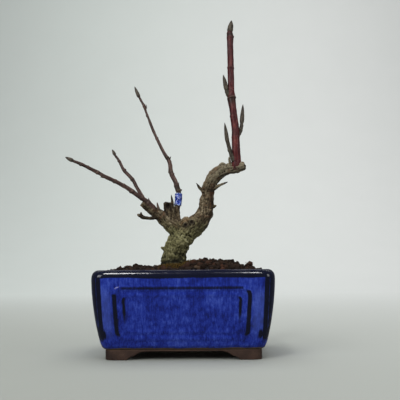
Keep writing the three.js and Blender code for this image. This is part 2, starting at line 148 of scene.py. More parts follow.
class Finish:
    """A material being made up: its shader and the nodes that vary it."""

    def __init__(self, name, **constants):
        self.material = bpy.data.materials.new(name)
        self.material.use_nodes = True
        self.nodes = self.material.node_tree.nodes
        self.links = self.material.node_tree.links
        self.shader = self.nodes["Principled BSDF"]
        for socket, value in constants.items():
            self.feed(socket.replace("_", " "), value)
        self.position = self.node("ShaderNodeTexCoord", output="Object")

    def node(self, kind, settings=None, inputs=None, output=0):
        """Adds a node, its settings first, and then the values or flows of its sockets."""
        node = self.nodes.new(kind)
        for key, value in (settings or {}).items():
            if key == "stops":
                ramp = node.color_ramp
                while len(ramp.elements) > 1:
                    ramp.elements.remove(ramp.elements[-1])
                ramp.elements[0].position, ramp.elements[0].color = value[0]
                for position, colour in value[1:]:
                    ramp.elements.new(position).color = colour
            else:
                setattr(node, key, value)
        for key, value in (inputs or {}).items():
            if isinstance(value, Flow):
                self.links.new(value.socket, node.inputs[key])
            else:
                node.inputs[key].default_value = value
        return Flow(self, node.outputs[output])

    def feed(self, socket, value):
        if isinstance(value, Flow):
            self.links.new(value.socket, self.shader.inputs[socket])
        else:
            self.shader.inputs[socket].default_value = value

    def maths(self, operation, *values):
        return self.node("ShaderNodeMath", {"operation": operation}, dict(enumerate(values)))

    def stretched(self, across, along, at=None):
        """The position squeezed so that a pattern on it is drawn out, with x and y kept or squeezed alike."""
        inputs = {"Vector": at or self.position, "Scale": (across, across, along)}
        return self.node("ShaderNodeMapping", {"vector_type": "POINT"}, inputs)

    def cloud(self, size, detail=3, rough=0.5, at=None, warp=0.0):
        """Soft noise whose features are this many millimetres across."""
        inputs = {"Vector": at or self.position, "Scale": 1 / (size * MM)}
        inputs |= {"Detail": detail, "Roughness": rough, "Distortion": warp}
        return self.node("ShaderNodeTexNoise", None, inputs, "Fac")

    def cells(self, size, feature="F1", at=None, output="Distance"):
        inputs = {"Vector": at or self.position, "Scale": 1 / (size * MM)}
        return self.node("ShaderNodeTexVoronoi", {"feature": feature}, inputs, output)

    def mark(self, name, output="Fac"):
        """A value or vector stored on the piece's points."""
        return self.node("ShaderNodeAttribute", {"attribute_name": name}, None, output)

    def step(self, flow, low, high):
        """0 below low, 1 above high, and smooth between."""
        inputs = {"Value": flow, "From Min": low, "From Max": high}
        return self.node("ShaderNodeMapRange", {"interpolation_type": "SMOOTHSTEP"}, inputs)

    def mix(self, share, first, second, blend="MIX"):
        inputs = {0: share, 6: first, 7: second}
        return self.node("ShaderNodeMix", {"data_type": "RGBA", "blend_type": blend}, inputs, 2)

    def ramp(self, flow, *stops):
        return self.node("ShaderNodeValToRGB", {"stops": stops}, {"Fac": flow})

    def height(self):
        """Height above the stand in millimetres."""
        return self.node("ShaderNodeSeparateXYZ", None, {"Vector": self.position}, "Z") * (1 / MM)

    def bump(self, height, depth, strength=1.0, under=None):
        """Relief of this many millimetres for a height from 0 to 1."""
        inputs = {"Height": height, "Distance": depth * MM, "Strength": strength}
        if under:
            inputs["Normal"] = under
        return self.node("ShaderNodeBump", None, inputs)


def blue_glaze():
    """Thick blue glaze, thin and dark on edges, over brown clay that shows under the last drip."""
    glaze = Finish("blue_glaze", Coat_Weight=0.3, Coat_Roughness=0.05, IOR=1.5, Specular_IOR_Level=0.3)
    streak = glaze.cloud(0.9, 3, 0.65, glaze.stretched(1, 0.12))
    mottle = glaze.cloud(2.8, 4, 0.65, glaze.stretched(1, 0.6))
    cloudy = glaze.cloud(18, 2, 0.5)
    speck = glaze.cloud(0.7, 2, 0.5)
    depth = streak * 0.4 + mottle * 0.45 + cloudy * 0.35 + speck * 0.15 - 0.16
    body = glaze.ramp(
        depth,
        (0.32, shade(16, 24, 76)),
        (0.44, shade(22, 36, 124)),
        (0.54, shade(34, 54, 156)),
        (0.66, shade(62, 84, 182)),
    )
    body = glaze.mix(glaze.mark("pooled") * 0.3, body, shade(84, 104, 184))
    thin = glaze.mark("thin_glaze")
    drips = glaze.cloud(1.6, 3, 0.6, glaze.stretched(1, 0.35)) - 0.5
    ragged = thin + drips * 0.5 * glaze.step(thin, 0.05, 0.4)
    dark = glaze.mix(glaze.cloud(6, 3), shade(7, 10, 30), shade(19, 22, 44))
    body = glaze.mix(glaze.step(ragged, 0.28, 0.8), body, dark)
    # Painted reflection: a pale lavender line of ceiling light along the rim's top edge.
    body = glaze.mix(glaze.mark("rim_line"), body, shade(104, 100, 122))
    bare = glaze.step(glaze.mark("bare") + (glaze.cloud(9, 2) - 0.5) * 0.5, 0.45, 0.55)
    clay = glaze.mix(glaze.cloud(3, 4), shade(66, 52, 40), shade(104, 88, 66))
    glaze.feed("Base Color", glaze.mix(bare, body, clay))
    glaze.feed("Roughness", 0.1 + 0.08 * glaze.cloud(14, 2) + 0.55 * bare)
    glaze.feed("Coat Weight", 0.3 - 0.3 * bare)
    dimples = glaze.cloud(5, 2) * 0.7 + glaze.cloud(1.1, 2) * 0.06
    glaze.feed("Normal", glaze.bump(dimples, 0.5, 0.45))
    return glaze.material


def bare_clay():
    clay = Finish("bare_clay", IOR=1.4)
    blotch = clay.cloud(12, 4, 0.6)
    grit = clay.cloud(0.7, 3, 0.6)
    colour = clay.ramp(
        blotch * 0.7 + grit * 0.3,
        (0.3, shade(40, 28, 23)),
        (0.5, shade(62, 44, 36)),
        (0.7, shade(86, 64, 52)),
    )
    wear = clay.step(clay.mark("relief"), 0.1, 0.45)
    clay.feed("Base Color", clay.mix(wear * 0.5, colour, shade(110, 84, 68)))
    clay.feed("Roughness", 0.68 + 0.2 * grit)
    clay.feed("Normal", clay.bump(grit, 0.16, 0.7, clay.bump(clay.cloud(3, 3), 0.3, 0.5)))
    return clay.material


def old_bark():
    """Olive at the foot of the trunk, greyer and cracked on the limbs, dark in every hollow with painted
    shade, with a painted highlight on the ridges, painted shade on the sides turned right and down, and a
    painted shadow round the foot.
    """
    bark = Finish("old_bark", IOR=1.4, Specular_IOR_Level=0.3)
    grain = bark.mark("grain", "Vector")
    along = bark.stretched(1, 0.3, grain)
    around = bark.stretched(0.35, 1, grain)
    height = bark.height()
    foot = 1 - bark.step(height + (bark.cloud(9, 3) - 0.5) * 16, 96, 112)
    fine = bark.cloud(1.1, 4, 0.65, along)
    band = bark.cloud(1.5, 4, 0.7, around)
    patch = bark.cloud(6, 3, 0.6)
    olive = bark.ramp(
        band * 0.55 + patch * 0.3 + fine * 0.25,
        (0.36, shade(38, 35, 18)),
        (0.47, shade(84, 80, 52)),
        (0.57, shade(124, 120, 82)),
        (0.68, shade(176, 172, 132)),
    )
    grey = bark.ramp(
        fine * 0.55 + patch * 0.45,
        (0.36, shade(28, 20, 12)),
        (0.46, shade(72, 60, 44)),
        (0.56, shade(118, 104, 81)),
        (0.67, shade(172, 160, 134)),
    )
    grey = bark.mix(bark.step(height, 132, 152) * 0.45, grey, shade(150, 142, 120))
    rust = bark.step(bark.cloud(3.6, 3, 0.6, along), 0.56, 0.7)
    grey = bark.mix(rust * 0.6, grey, shade(104, 62, 36))
    colour = bark.mix(foot, grey, olive)
    lichen = bark.step(bark.cloud(4.5, 3, 0.7), 0.62, 0.7)
    colour = bark.mix(lichen * 0.35, colour, shade(128, 134, 96))
    relief = bark.mark("relief")
    # Dark fissures: the bark's darker cracks, deepened with painted shade in every hollow.
    fissure_shade = 1 - bark.step(relief, -0.2, 0.03)
    colour = bark.mix(fissure_shade * 0.92, colour, shade(18, 13, 7))
    # Painted highlight on the raised parts of the bark.
    colour = bark.mix(bark.step(relief, 0.05, 0.28) * 0.3, colour, shade(168, 160, 132))
    damp = 1 - bark.step(height, 76, 90)
    wet_spots = bark.step(bark.cloud(3.2, 4, 0.7, around), 0.44, 0.56)
    colour = bark.mix(damp * (0.1 + 0.78 * wet_spots), colour, shade(28, 27, 15))
    blotch = bark.step(bark.cloud(3.4, 4, 0.65, along), 0.34, 0.56)
    # Painted shade on the sides turned right and down, and a darker tint on the stump and the branch's top.
    dim = bark.mark("dim_side") * bark.step(height, 92, 108)
    colour = bark.mix(dim * blotch * 0.85, colour, shade(33, 24, 21))
    scar = bark.step(bark.cloud(2.6, 2, 0.5, around), 0.58, 0.68) * bark.step(height, 104, 114)
    colour = bark.mix(scar * 0.5, colour, shade(98, 64, 42))
    # Painted shadow: a dark ring round the trunk's foot where it meets the soil.
    painted_foot_shadow = 1 - bark.step(height + (bark.cloud(5, 2) - 0.5) * 3, 73.5, 77.5)
    colour = bark.mix(painted_foot_shadow * 0.75, colour, shade(17, 15, 10))
    colour = bark.mix(bark.mark("cut_wood"), colour, bark.mix(fine, shade(14, 10, 7), shade(46, 34, 25)))
    bark.feed("Base Color", colour)
    bark.feed("Roughness", 0.72 + 0.2 * fine)
    bark.feed("Normal", bark.bump(bark.cloud(0.6, 3, 0.6, along), 0.14, 0.8, bark.bump(fine, 0.3, 0.7)))
    return bark.material


def twig_bark(name, dark, mid, light, bloom, bloom_share, rough):
    """Young bark: thin, with a bloom of grey wax, pale pores, darker rings at the nodes and painted shade in
    its hollows.
    """
    bark = Finish(name, IOR=1.45, Specular_IOR_Level=0.35)
    grain = bark.mark("grain", "Vector")
    streak = bark.cloud(1.6, 4, 0.6, bark.stretched(1, 0.16, grain))
    blotch = bark.cloud(5, 3, 0.6, bark.stretched(1, 0.4, grain))
    colour = bark.ramp(streak * 0.6 + blotch * 0.4, (0.36, dark), (0.5, mid), (0.64, light))
    wax = bark.step(bark.cloud(4.2, 4, 0.65, bark.stretched(1, 0.25, grain)), 0.5, 0.66)
    colour = bark.mix(wax * bloom_share, colour, bloom)
    pores = 1 - bark.step(bark.cells(1.5, "F1", bark.stretched(1, 0.55, grain)), 0.1, 0.2)
    colour = bark.mix(pores * 0.5, colour, shade(150, 136, 118))
    relief = bark.mark("relief")
    # Painted shade in the hollows beside the node rings and wrinkles.
    colour = bark.mix((1 - bark.step(relief, -0.14, 0.02)) * 0.7, colour, shade(24, 16, 12))
    colour = bark.mix(bark.mark("cut_wood"), colour, shade(40, 32, 24))
    colour = bark.mix(bark.step(relief, 0.1, 0.28) * 0.6, colour, shade(98, 86, 74))
    colour = bark.mix(bark.step(bark.height(), 180, 250) * 0.3, colour, dark)
    bark.feed("Base Color", colour)
    bark.feed("Roughness", rough + 0.25 * wax)
    wrinkle = bark.cloud(0.8, 3, 0.6, bark.stretched(1, 0.2, grain))
    bark.feed("Normal", bark.bump(pores, 0.1, 0.6, bark.bump(wrinkle, 0.16, 0.7)))
    return bark.material


def bud_scale():
    bud = Finish("bud_scale", IOR=1.45)
    grain = bud.mark("grain", "Vector")
    fibre = bud.cloud(0.7, 3, 0.6, bud.stretched(1, 0.12, grain))
    colour = bud.ramp(fibre, (0.35, shade(30, 24, 20)), (0.5, shade(64, 56, 46)), (0.68, shade(108, 99, 84)))
    tip = bud.step(bud.mark("towards_tip"), 0.62, 1.0)
    colour = bud.mix(tip * 0.55, colour, shade(34, 24, 20))
    edge = bud.mark("scale_edge")
    colour = bud.mix(edge * 0.45, colour, shade(132, 116, 98))
    bud.feed("Base Color", colour)
    bud.feed("Roughness", 0.5 + 0.2 * fibre)
    bud.feed("Normal", bud.bump(fibre, 0.1, 0.7))
    return bud.material


def soil_granule():
    """Baked clay crumbs, each its own brown, with dust in the pits."""
    soil = Finish("soil_granule", IOR=1.4, Specular_IOR_Level=0.25)
    kind = soil.mark("crumb")
    pit = soil.cloud(0.9, 3, 0.65)
    colour = soil.ramp(
        kind,
        (0.0, shade(15, 10, 8)),
        (0.3, shade(32, 23, 18)),
        (0.55, shade(47, 35, 27)),
        (0.75, shade(70, 44, 32)),
        (0.9, shade(84, 70, 55)),
        (1.0, shade(34, 30, 28)),
    )
    colour = soil.mix(soil.step(pit, 0.4, 0.7) * 0.45, colour, shade(24, 16, 10))
    soil.feed("Base Color", colour)
    soil.feed("Roughness", 0.8 + 0.15 * pit)
    soil.feed("Normal", soil.bump(pit, 0.3, 0.8))
    return soil.material


def moss_fibre():
    moss = Finish("moss_fibre", IOR=1.4, Specular_IOR_Level=0.2)
    kind = moss.mark("crumb")
    colour = moss.ramp(
        kind,
        (0.0, shade(38, 28, 14)),
        (0.35, shade(66, 50, 24)),
        (0.6, shade(108, 78, 36)),
        (0.8, shade(80, 76, 36)),
        (1.0, shade(62, 66, 34)),
    )
    moss.feed("Base Color", colour)
    moss.feed("Roughness", 0.75 + 0.2 * moss.cloud(0.6, 2))
    moss.feed("Normal", moss.bump(moss.cloud(0.5, 2), 0.1, 0.6))
    return moss.material


def blue_film():
    """Thin shiny film, wound and crinkled, with a painted white highlight on its raised crinkles."""
    film = Finish("blue_film", Coat_Weight=1.0, Coat_Roughness=0.04, IOR=1.5)
    painted_glint = film.mark("relief")
    colour = film.ramp(
        film.cloud(2.6, 3, 0.6),
        (0.38, shade(10, 20, 84)),
        (0.5, shade(20, 50, 156)),
        (0.62, shade(62, 100, 204)),
    )
    # Painted highlight: white glints on the raised crinkles.
    film.feed("Base Color", film.mix(film.step(painted_glint, 0.05, 0.2), colour, shade(190, 206, 246)))
    film.feed("Roughness", 0.12 + 0.15 * film.cloud(1.2, 2))
    film.feed("Normal", film.bump(film.cloud(1.0, 3, 0.6, warp=1.2), 0.25, 0.8))
    return film.material


def training_wire():
    wire = Finish("training_wire", Metallic=0.9, IOR=1.5)
    tarnish = wire.cloud(3, 4, 0.6)
    wire.feed("Base Color", wire.ramp(tarnish, (0.35, shade(86, 62, 44)), (0.65, shade(150, 120, 94))))
    wire.feed("Roughness", 0.35 + 0.3 * tarnish)
    wire.feed("Normal", wire.bump(wire.cloud(0.6, 2), 0.03, 0.5))
    return wire.material


def black_netting():
    net = Finish("black_netting", IOR=1.45)
    dust = net.cloud(2.4, 4, 0.65)
    net.feed("Base Color", net.mix(net.step(dust, 0.5, 0.75) * 0.5, shade(24, 25, 24), shade(92, 78, 62)))
    net.feed("Roughness", 0.45 + 0.35 * dust)
    net.feed("Normal", net.bump(net.cloud(0.8, 2), 0.08, 0.6))
    return net.material


def gravel_stone():
    stone = Finish("gravel_stone", IOR=1.45)
    pebble = stone.cells(3.4, "F1")
    gap = stone.cells(3.4, "DISTANCE_TO_EDGE")
    tone = stone.cloud(3.4, 2)
    colour = stone.ramp(
        tone,
        (0.35, shade(84, 72, 58)),
        (0.5, shade(128, 108, 84)),
        (0.65, shade(160, 146, 122)),
    )
    # Painted shade in the gaps between the pebbles.
    stone.feed("Base Color", stone.mix(1 - stone.step(gap, 0.02, 0.12), colour, shade(26, 20, 14)))
    stone.feed("Roughness", 0.8 + 0.15 * pebble)
    stone.feed("Normal", stone.bump(stone.step(gap, 0.0, 0.3), 0.8, 0.9))
    return stone.material


def backdrop_paper():
    """Pale grey paper, with painted shade that makes it a little darker to the left and low down."""
    paper = Finish("backdrop_paper", IOR=1.4, Specular_IOR_Level=0.1)
    sideways = paper.node("ShaderNodeSeparateXYZ", None, {"Vector": paper.position}, "X")
    backwards = paper.node("ShaderNodeSeparateXYZ", None, {"Vector": paper.position}, "Y")
    rightwards = paper.step(sideways, -0.9, 0.9)
    fibre = paper.cloud(160, 3)
    # Painted shade: a little darker to the left, and darker on the floor in front.
    colour = paper.mix(rightwards, shade(215, 221, 217), shade(225, 227, 225))
    front = paper.mix(rightwards, shade(121, 125, 116), shade(190, 193, 188))
    colour = paper.mix(paper.step(backwards, -0.4, 1.5), front, colour)
    paper.feed("Base Color", paper.mix(fibre * 0.12, colour, shade(190, 196, 190)))
    paper.feed("Roughness", 0.85 + 0.1 * fibre)
    return paper.material


# Workshop tools


def deselect():
    if bpy.context.mode != "OBJECT":
        bpy.ops.object.mode_set(mode="OBJECT")
    bpy.ops.object.select_all(action="DESELECT")


def take(*pieces):
    """Selects these pieces and no others, with the first of them active."""
    deselect()
    for piece in pieces:
        piece.select_set(True)
    bpy.context.view_layer.objects.active = pieces[0]


def started(name):
    """Names the primitive that was just added and puts its place into its mesh."""
    piece = bpy.context.object
    piece.name = piece.data.name = name
    bpy.ops.object.transform_apply(location=True, rotation=True, scale=True)
    return piece


def modify(piece, kind, **settings):
    """Adds a modifier and applies it."""
    take(piece)
    modifier = piece.modifiers.new(kind.lower(), kind)
    for key, value in settings.items():
        setattr(modifier, key, value)
    bpy.ops.object.modifier_apply(modifier=modifier.name)


def subdivided(piece, levels):
    modify(piece, "SUBSURF", levels=levels, render_levels=levels)


def pick(piece, kind, test):
    """Opens a piece for editing with only the vertices, edges or faces that pass a test selected."""
    if bpy.context.mode != "EDIT_MESH" or bpy.context.object != piece:
        take(piece)
        bpy.ops.object.mode_set(mode="EDIT")
    bpy.ops.mesh.select_mode(type={"verts": "VERT", "edges": "EDGE", "faces": "FACE"}[kind])
    bpy.ops.mesh.select_all(action="DESELECT")
    shape = bmesh.from_edit_mesh(piece.data)
    for each in getattr(shape, kind):
        each.select = bool(test(each))
    shape.select_flush_mode()
    bmesh.update_edit_mesh(piece.data)


def face_outwards(piece):
    take(piece)
    bpy.ops.object.mode_set(mode="EDIT")
    bpy.ops.mesh.select_all(action="SELECT")
    bpy.ops.mesh.normals_make_consistent(inside=False)
    bpy.ops.object.mode_set(mode="OBJECT")


def joined(name, pieces):
    take(*pieces)
    if len(pieces) > 1:
        bpy.ops.object.join()
    whole = bpy.context.object
    whole.name = whole.data.name = name
    return whole


def discard(piece):
    bpy.data.objects.remove(piece, do_unlink=True)


def smooth(piece, angle=None):
    take(piece)
    if angle is None:
        bpy.ops.object.shade_smooth()
    else:
        bpy.ops.object.shade_smooth_by_angle(angle=math.radians(angle))


def points_of(piece, what="co"):
    """The piece's points, or their normals, as rows of numbers."""
    rows = np.empty(len(piece.data.vertices) * 3)
    piece.data.vertices.foreach_get(what, rows)
    return rows.reshape(-1, 3)


def in_pot(points):
    """Rows of points in metres as millimetres from the pot's foot."""
    return (points - np.array(POT_FOOT)) / MM


def remember(piece, name, values):
    """Stores a value or vector on each of the piece's points, for its material."""
    vector = values.ndim == 2
    store = piece.data.attributes.new(name, "FLOAT_VECTOR" if vector else "FLOAT", "POINT")
    store.data.foreach_set("vector" if vector else "value", values.astype(np.float32).ravel())


def mark_relief(piece, rounds):
    """Stores by how many millimetres each point stands out of its smoothed surroundings."""
    points = points_of(piece)
    count = len(points)
    edges = np.empty(len(piece.data.edges) * 2, dtype=np.int64)
    piece.data.edges.foreach_get("vertices", edges)
    first, second = edges.reshape(-1, 2).T
    neighbours = np.maximum(np.bincount(edges, minlength=count), 1)
    calm = points.copy()
    for _ in range(rounds):
        total = [
            np.bincount(first, calm[second, axis], count) + np.bincount(second, calm[first, axis], count)
            for axis in range(3)
        ]
        calm = np.stack(total, axis=1) / neighbours[:, None]
    out = ((points - calm) * points_of(piece, "normal")).sum(axis=1) / MM
    remember(piece, "relief", out - np.median(out))


def weigh(piece, name, weights):
    """Makes a vertex group with a weight for each point."""
    group = piece.vertex_groups.new(name=name)
    for index, weight in enumerate(weights):
        if weight > 0.001:
            group.add([index], float(weight), "REPLACE")


texture_place = random.Random(5)


def roughen(piece, kind, size, depth, stretch=(1, 1, 1), level=0.5, **settings):
    """Pushes a surface in and out by a pattern whose features are this many millimetres across."""
    texture = bpy.data.textures.new(kind.lower(), kind)
    texture.noise_scale = 1.0
    for key, value in settings.items():
        setattr(texture, key, value)
    deselect()
    shift = [texture_place.uniform(-0.3, 0.3) for _ in range(3)]
    bpy.ops.object.empty_add(location=shift)
    ruler = bpy.context.object
    ruler.scale = [size * MM * each for each in stretch]
    bpy.context.view_layer.update()
    modify(
        piece, "DISPLACE", texture=texture, strength=depth * MM, mid_level=level, texture_coords="OBJECT",
        texture_coords_object=ruler,
    )
    discard(ruler)


def route(points):
    """A smooth curve through points, and how far along it each of them lies, in metres."""
    deselect()
    bpy.ops.curve.primitive_bezier_curve_add(location=(0, 0, 0))
    line = bpy.context.object
    knots = line.data.splines[0].bezier_points
    knots.add(len(points) - len(knots))
    for knot, point in zip(knots, points):
        knot.co = place(*point[:3])
        knot.handle_left_type = knot.handle_right_type = "AUTO"
    line.data.resolution_u = 16
    line.data.twist_mode = "MINIMUM"
    bpy.ops.object.mode_set(mode="EDIT")
    bpy.ops.object.mode_set(mode="OBJECT")
    knots = line.data.splines[0].bezier_points
    reach = [0.0]
    for one, two in zip(knots[:-1], knots[1:]):
        bits = geometry.interpolate_bezier(one.co, one.handle_right, two.handle_left, two.co, 17)
        reach.append(reach[-1] + sum((q - p).length for p, q in zip(bits, bits[1:])))
    return line, reach


def stem(name, path, sides, pace, levels, dress):
    """A tapering stem: extruded straight up from a disc, dressed with bark, and bent along its path.

    Each point of the path is x, y, z and radius in millimetres."""
    line, reach = route(path)
    rings = max(3, round(reach[-1] / (pace * MM)))
    at = np.linspace(0, reach[-1], rings + 1)
    radius = np.interp(at, reach, [point[3] * MM for point in path])
    deselect()
    bpy.ops.mesh.primitive_circle_add(vertices=sides, radius=radius[0], fill_type="NGON", location=(0, 0, 0))
    piece = started(name)
    bpy.ops.object.mode_set(mode="EDIT")
    bpy.ops.mesh.select_all(action="SELECT")
    for ring in range(rings):
        grow = radius[ring + 1] / radius[ring]
        bpy.ops.mesh.extrude_region_move(TRANSFORM_OT_translate={"value": (0, 0, at[ring + 1] - at[ring])})
        bpy.ops.transform.resize(value=(grow, grow, 1), center_override=(0, 0, at[ring + 1]))
    bpy.ops.mesh.inset(thickness=radius[-1] * 0.25)
    face_outwards(piece)
    subdivided(piece, levels)
    remember(piece, "grain", points_of(piece))
    dress(piece)
    modify(piece, "CURVE", object=line, deform_axis="POS_Z")
    discard(line)
    return piece


def block(name, length, depth, bottom, top, corner, segments):
    """A block over the middle of the pot, its upright edges rounded off, in millimetres."""
    deselect()
    size = (length * MM, depth * MM, (top - bottom) * MM)
    bpy.ops.mesh.primitive_cube_add(size=1, location=place(0, 0, (bottom + top) / 2), scale=size)
    piece = started(name)
    pick(piece, "edges", lambda edge: abs(edge.verts[0].co.z - edge.verts[1].co.z) > 1 * MM)
    bpy.ops.mesh.bevel(offset=corner * MM, segments=segments, affect="EDGES")
    return piece


def cut_across(piece, axis, at, test):
    """Cuts the faces that pass a test along an upright plane, at this x for axis 0 or this y for axis 1."""
    pick(piece, "faces", test)
    direction = [0, 0, 0]
    direction[axis] = 1
    bpy.ops.mesh.bisect(plane_co=place(at, at, 0), plane_no=direction)


def swell(piece, centre, reach, height):
    """Raises a burr, or with a negative height sinks a pit, round a place on the surface."""
    points = points_of(piece)
    away = np.linalg.norm(points - np.array(place(*centre)), axis=1) / (reach * MM)
    lift = np.where(away < 1, (1 - away**2) ** 2, 0) * height * MM
    points += points_of(piece, "normal") * lift[:, None]
    piece.data.vertices.foreach_set("co", points.ravel())
    piece.data.update()


def keep_grain(piece, source_points, source_grain):
    """Gives a remeshed piece the grain of the stems that it was made from."""
    tree = kdtree.KDTree(len(source_points))
    for index, point in enumerate(source_points):
        tree.insert(point, index)
    tree.balance()
    nearest = [tree.find(point)[1] for point in points_of(piece)]
    if "grain" in piece.data.attributes:
        piece.data.attributes.remove(piece.data.attributes["grain"])
    remember(piece, "grain", source_grain[nearest])


def vectors_of(piece, name):
    rows = np.empty(len(piece.data.vertices) * 3)
    piece.data.attributes[name].data.foreach_get("vector", rows)
    return rows.reshape(-1, 3)


def finished(piece, material, slot, *nodes):
    """Gives a piece its material, hangs it under the root body and hides the imported solids that it stands
    for; the slot is not used.
    """
    piece.data.materials.clear()
    piece.data.materials.append(material)
    for group in list(piece.vertex_groups):
        piece.vertex_groups.remove(group)
    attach(piece, "root")
    if nodes:
        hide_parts(*nodes)


# The pot

HALF_LENGTH = 70.6
HALF_DEPTH = 52.5
RIM_HEIGHT = 68

# Rings up the outside of the wall: height, and how far in from the rim's widest line.
WALL_RINGS = [
    (7.3, 12), (7.5, 10.6), (8, 9.3), (8.8, 8.3), (10, 7.6), (12.2, 6.8), (14, 6.2), (15.4, 5.9),
    (16.8, 5.6), (18.4, 5.2), (20.8, 4.7), (24, 4), (29, 3.1), (35, 2.2), (41, 1.4), (46, 0.9),
    (48.6, 0.7), (50.4, 0.5), (52, 0.4), (53.6, 0.3), (55.2, 0.2), (57.8, 0.1), (59.4, 0), (61.4, 0),
    (63.2, 0.1), (64.7, 0.5), (66, 1.2), (67, 2.1), (67.7, 3.2), (68, 4.5),
]
POT_CORNER = 9
COLUMNS = [0, 8, 16, 24, 32, 38, 41.5, 43.5, 45, 46.5, 48, 49.5, 51, 52.5, 54, 55.5, 58.5]
SIDE_SHIFT = HALF_LENGTH - HALF_DEPTH

# The raised frame on a face: half its width and height, the height of its middle, how far it stands to
# the left, and how much it narrows towards the foot.
FRAME_HALF = (51.3, 18.9)
FRAME_MIDDLE = 35.3
FRAME_SHIFT = 0.5
FRAME_LEAN = 2.1

DRAIN_SPREAD = 32
DRAIN_RADIUS = 7.6


def panel_lines(points):
    """How strongly each point lies on the outer and the inner bead of a face's frame, from 0 to 1.

    It also gives how far outside the frame, and how far round a corner, the point is in millimetres."""
    x, y, z = np.abs(points[:, 0]), np.abs(points[:, 1]), points[:, 2]
    ring_z, ring_in = zip(*WALL_RINGS)
    inset = np.interp(z, ring_z, ring_in)
    front = (HALF_DEPTH - inset - y) < (HALF_LENGTH - inset - x)
    across = np.where(front, np.abs(points[:, 0] + FRAME_SHIFT), y + SIDE_SHIFT)
    lean = FRAME_LEAN * (50 - z) / 32
    outward = across - (FRAME_HALF[0] - lean)
    corner_edge = 59.9 + 1.4 * (z - 20) / 25
    round_corner = np.minimum(x, y + SIDE_SHIFT) - corner_edge

    def bead(shrink, corner, width):
        half_width, half_height = FRAME_HALF[0] - shrink, FRAME_HALF[1] - shrink * 0.75
        over_x = across + lean - half_width + corner
        over_z = np.abs(z - FRAME_MIDDLE) - half_height + corner
        outside = np.hypot(np.maximum(over_x, 0), np.maximum(over_z, 0))
        away = outside + np.minimum(np.maximum(over_x, over_z), 0) - corner
        return np.clip(1 - (away / width) ** 2, 0, 1) ** 1.5

    return bead(0, 6, 2.5), bead(6.8, 4.5, 2.2), outward, round_corner


def pot_body():
    """Cut from a block: corners rounded, ringed and shaped in, hollowed from the top, with raised frames."""
    pot = block("pot_body", 2 * HALF_LENGTH, 2 * HALF_DEPTH, WALL_RINGS[0][0], RIM_HEIGHT, POT_CORNER, 7)
    side_columns = [column - SIDE_SHIFT for column in COLUMNS if column > SIDE_SHIFT + 1] + [0]
    for axis, half, columns in ((0, 1, COLUMNS), (1, 0, side_columns)):
        for column in columns:
            for side in {column, -column}:
                cut_across(pot, axis, side, lambda face: abs(face.normal[half]) > 0.99)
    for height, _ in WALL_RINGS[1:-1]:
        pick(pot, "faces", lambda face: abs(face.normal.z) < 0.5)
        bpy.ops.mesh.bisect(plane_co=place(0, 0, height), plane_no=(0, 0, 1))
    for height, inset in WALL_RINGS:
        pick(pot, "verts", lambda vert: abs(vert.co.z - height * MM) < 0.05 * MM)
        narrower = (1 - inset / HALF_LENGTH, 1 - inset / HALF_DEPTH, 1)
        bpy.ops.transform.resize(value=narrower, center_override=place(0, 0, height))
    pick(pot, "faces", lambda face: face.normal.z > 0.99)
    for thickness, drop in ((0.9, 0), (0.6, 0.4), (0.2, 1.1)):
        bpy.ops.mesh.inset(thickness=thickness * MM)
        bpy.ops.mesh.extrude_region_move(TRANSFORM_OT_translate={"value": (0, 0, -drop * MM)})
    for narrower, drop in ((0, 3), (0.4, 10), (5.4, 39.5)):
        bpy.ops.mesh.extrude_region_move(TRANSFORM_OT_translate={"value": (0, 0, -drop * MM)})
        share = (1 - narrower / 65, 1 - narrower / 46, 1)
        bpy.ops.transform.resize(value=share, center_override=tuple(POT_FOOT))
    face_outwards(pot)
    subdivided(pot, 2)

    outer, inner, _, _ = panel_lines(in_pot(points_of(pot)))
    outside = outward_share(pot)
    weigh(pot, "outer_bead", outer * outside)
    modify(pot, "DISPLACE", strength=0.6 * MM, mid_level=0, vertex_group="outer_bead")
    weigh(pot, "inner_bead", inner * outside)
    modify(pot, "DISPLACE", strength=0.4 * MM, mid_level=0, vertex_group="inner_bead")
    for side in (-1, 1):
        drill(pot, side * DRAIN_SPREAD, DRAIN_RADIUS)
    store_glaze_marks(pot)
    smooth(pot)
    return pot


def outward_share(pot):
    """1 on the outside of the wall, and 0 on its inside, rim and floor."""
    points, normals = in_pot(points_of(pot)), points_of(pot, "normal")
    outwards = points[:, 0] / HALF_LENGTH * normals[:, 0] + points[:, 1] / HALF_DEPTH * normals[:, 1]
    return np.clip(outwards * 3, 0, 1)


def drill(piece, x, radius):
    deselect()
    size = {"radius": radius * MM, "depth": 60 * MM}
    bpy.ops.mesh.primitive_cylinder_add(vertices=48, location=place(x, 0, 0), **size)
    bit = started("drill")
    modify(piece, "BOOLEAN", operation="DIFFERENCE", object=bit, solver="EXACT")
    discard(bit)


def wander(points, size, seed):
    """Smooth noise from -1 to 1 at each row of points, which are in millimetres."""
    shift = Vector((seed * 13.7, seed * 7.1, seed * 3.3))
    return np.array([noise.noise(Vector(point) / size + shift) for point in points])


def rising(values, start, width):
    """0 up to the start, and then up to 1 over the width."""
    return np.clip((values - start) / width, 0, 1)


def falling(values, end, width):
    """1 until the width before the end, and then down to 0 at the end."""
    return np.clip((end - values) / width, 0, 1)


def bell(values, middle, width):
    return np.exp(-(((values - middle) / width) ** 2))


